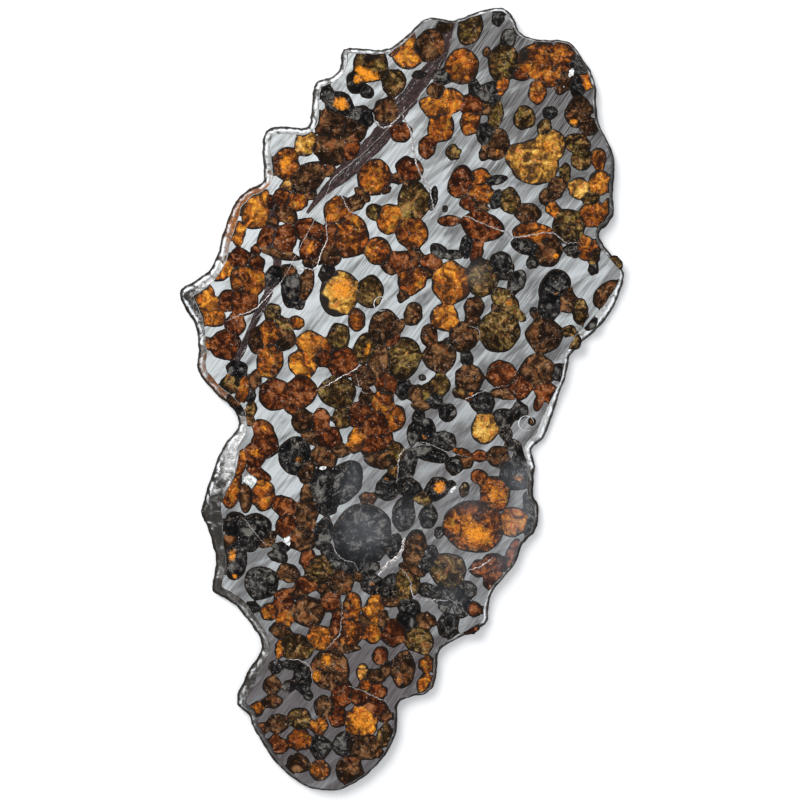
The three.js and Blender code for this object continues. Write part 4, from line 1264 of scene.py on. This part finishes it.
VEIN_STEPS = 10
VEIN_SHARE = 0.85
VEIN_LIFT = 0.035
VEIN_JITTER = 0.09
VEIN_JITTER_SEED = 70
VEIN_RAGGED = 0.35
VEIN_RAGGED_SEED = 90
VEIN_TIP = 0.12
VEIN_DULL = (0.20, 0.17, 0.155)
VEIN_BRIGHT = (0.66, 0.64, 0.63)
vein_points, vein_faces, vein_count = [], [], 0
for place, (half, line) in enumerate(BRIGHT_VEINS):
    middle = smooth_line(np.reshape(line, (-1, 2)), VEIN_STEPS)
    jitter = np.random.default_rng(VEIN_JITTER_SEED + place).normal(0, VEIN_JITTER, middle.shape)
    taper = np.sin(np.linspace(VEIN_TIP, np.pi - VEIN_TIP, len(middle))) ** 0.5
    line = np.column_stack([middle + jitter, VEIN_SHARE * half * taper])
    points, faces = ribbon(line, VEIN_LIFT, VEIN_RAGGED, VEIN_RAGGED_SEED + place)
    vein_points.append(points)
    vein_faces.append(faces + vein_count)
    vein_count += len(points)
vein_metal, vein_place = new_finish("bright vein")
vein_grit = vein_place.noise(2.5, 3, 0.6)
vein_colour = vein_grit.rise(0.38, 0.66).mix(VEIN_DULL, VEIN_BRIGHT)
shade(vein_metal, Base_Color=vein_colour, Metallic=0.75, Roughness=0.34, Normal=vein_grit.bump(0.5, 0.08))
vein_faces = np.concatenate(vein_faces).tolist()
veins = add_piece("bright_veins", np.concatenate(vein_points), vein_faces, vein_metal)
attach(veins, "root")

# Small marks in the polish: bright spots where metal or broken crystal shows white, and thin rings, each
# the rim of a bubble in the clear seal over the face.
BRIGHT_SPOTS = np.array([
    # middle, half length, half width, turn
    [-22.6, -26.3, 1.3, 1.15, 0], [-11, -37.7, 0.9, 1.2, 10], [25.4, 79.8, 0.6, 1.7, -14],
    [24.6, 76.6, 0.3, 0.3, 0], [-7.3, -19.8, 0.8, 0.5, 30], [22.3, -17.2, 0.4, 1.1, -20],
])
SPOT_STEPS = 28
SPOT_LIFT = 0.07
SPOT_RAGGED = 0.13
SPOT_SEED = 17
SPOT_GREY = (0.33, 0.33, 0.32)
SPOT_WHITE = (0.86, 0.87, 0.86)
# middle and radius of each ring, which is open between its two ends
BUBBLE_RINGS = np.array([[34.7, 1.0, 1.7], [-3.5, 19.2, 1.6]])
RING_STEPS = 40
RING_START = 0.3
RING_SWEEP = 5.3
RING_HALF_WIDTH = 0.09
RING_TIP = 0.01
RING_RAGGED = 0.1
RING_SEED = 5


def bright_spots():
    """One fan for each spot: a ragged ellipse with its rim on the face and its middle lifted."""
    turn = 2 * np.pi * np.arange(SPOT_STEPS) / SPOT_STEPS
    x, y, half_length, half_width, tilt = BRIGHT_SPOTS.T[:, :, None]
    ragged = 1 + np.random.default_rng(SPOT_SEED).normal(0, SPOT_RAGGED, (len(BRIGHT_SPOTS), SPOT_STEPS))
    east, north = half_length * ragged * np.cos(turn), half_width * ragged * np.sin(turn)
    tilt = np.radians(tilt)
    east, north = east * np.cos(tilt) - north * np.sin(tilt), east * np.sin(tilt) + north * np.cos(tilt)
    rim = np.stack([x + east, y + north, np.full(east.shape, THICKNESS)], 2)
    middle = np.stack([x[:, 0], y[:, 0], np.full(len(x), THICKNESS + SPOT_LIFT)], 1)[:, None]
    here = 1 + np.arange(SPOT_STEPS)
    fan = np.stack([0 * here, here, np.roll(here, -1)], 1)
    faces = (fan + (SPOT_STEPS + 1) * np.arange(len(x))[:, None, None]).reshape(-1, 3)
    return np.concatenate([middle, rim], 1).reshape(-1, 3), faces


mark_points, mark_faces = bright_spots()
mark_faces = mark_faces.tolist()
for x, y, radius in BUBBLE_RINGS:
    along = np.linspace(0, 1, RING_STEPS)
    turn = RING_START + RING_SWEEP * along
    half = RING_HALF_WIDTH * np.sin(np.pi * along) ** 0.5 + RING_TIP
    line = np.column_stack([x + radius * np.cos(turn), y + radius * np.sin(turn), half])
    points, faces = ribbon(line, SPOT_LIFT, RING_RAGGED, RING_SEED)
    mark_faces += (faces + len(mark_points)).tolist()
    mark_points = np.concatenate([mark_points, points])
mark_finish, mark_place = new_finish("polish mark")
mark_grit = mark_place.noise(1.8, 3, 0.65)
mark_colour = mark_grit.rise(0.36, 0.6).mix(SPOT_GREY, SPOT_WHITE)
shade(mark_finish, Base_Color=mark_colour, Metallic=0.2, Roughness=0.4)
marks = add_piece("polish_marks", mark_points, mark_faces, mark_finish)
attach(marks, "root")

# A plain white table, a camera that looks straight down at the slice as the photograph looks at it, and
# soft studio light that comes most from the top left of the picture.
PICTURE_TURN = np.radians(14)
VIEW_MIDDLE = (5.87, -0.74)
VIEW_ACROSS = 180
CAMERA_LENS = 110
CAMERA_SENSOR = 36
TABLE_SIZE = 3
TABLE_GAP = 0.0002
TABLE_WHITE = (0.96, 0.96, 0.96)
TABLE_SHADE = (0.93, 0.93, 0.93)
SKY_COLOUR = (0.93, 0.96, 1)
SKY_STRENGTH = 0.6
camera_height = VIEW_ACROSS * CAMERA_LENS / CAMERA_SENSOR + THICKNESS

bpy.ops.mesh.primitive_plane_add(size=TABLE_SIZE, location=(0, 0, -TABLE_GAP))
table = bpy.context.object
table.name = "table"
table_finish, table_place = new_finish("white table")
table_grain = table_place.noise(0.05, 3)
shade(table_finish, Roughness=0.7, Base_Color=table_grain.mix(TABLE_SHADE, TABLE_WHITE))
table.data.materials.append(table_finish)

camera = bpy.data.objects.new("camera", bpy.data.cameras.new("camera"))
bpy.context.collection.objects.link(camera)
camera.location = (VIEW_MIDDLE[0] * MM, VIEW_MIDDLE[1] * MM, camera_height * MM)
camera.rotation_euler = (0, 0, PICTURE_TURN)
camera.data.lens = CAMERA_LENS
camera.data.sensor_width = CAMERA_SENSOR
camera.data.clip_start = 0.01
bpy.context.scene.camera = camera


def soft_light(name, right, up, height, size, power):
    """A square area light, placed in metres along the picture's right and up and aimed at the slice."""
    lamp = bpy.data.lights.new(name, "AREA")
    lamp.size = size
    lamp.energy = power
    light = bpy.data.objects.new(name, lamp)
    bpy.context.collection.objects.link(light)
    east = right * np.cos(PICTURE_TURN) - up * np.sin(PICTURE_TURN)
    north = right * np.sin(PICTURE_TURN) + up * np.cos(PICTURE_TURN)
    light.location = (east, north, height)
    light.rotation_euler = (-light.location).to_track_quat("-Z", "Y").to_euler()


soft_light("window", -0.5, 0.55, 0.75, 0.7, 11)
soft_light("fill", 0.8, -0.3, 0.7, 0.9, 4)
world = bpy.data.worlds.new("studio")
world.use_nodes = True
sky = world.node_tree.nodes["Background"].inputs
sky["Color"].default_value = (*SKY_COLOUR, 1)
sky["Strength"].default_value = SKY_STRENGTH
bpy.context.scene.world = world
bpy.context.scene.view_settings.view_transform = "Standard"
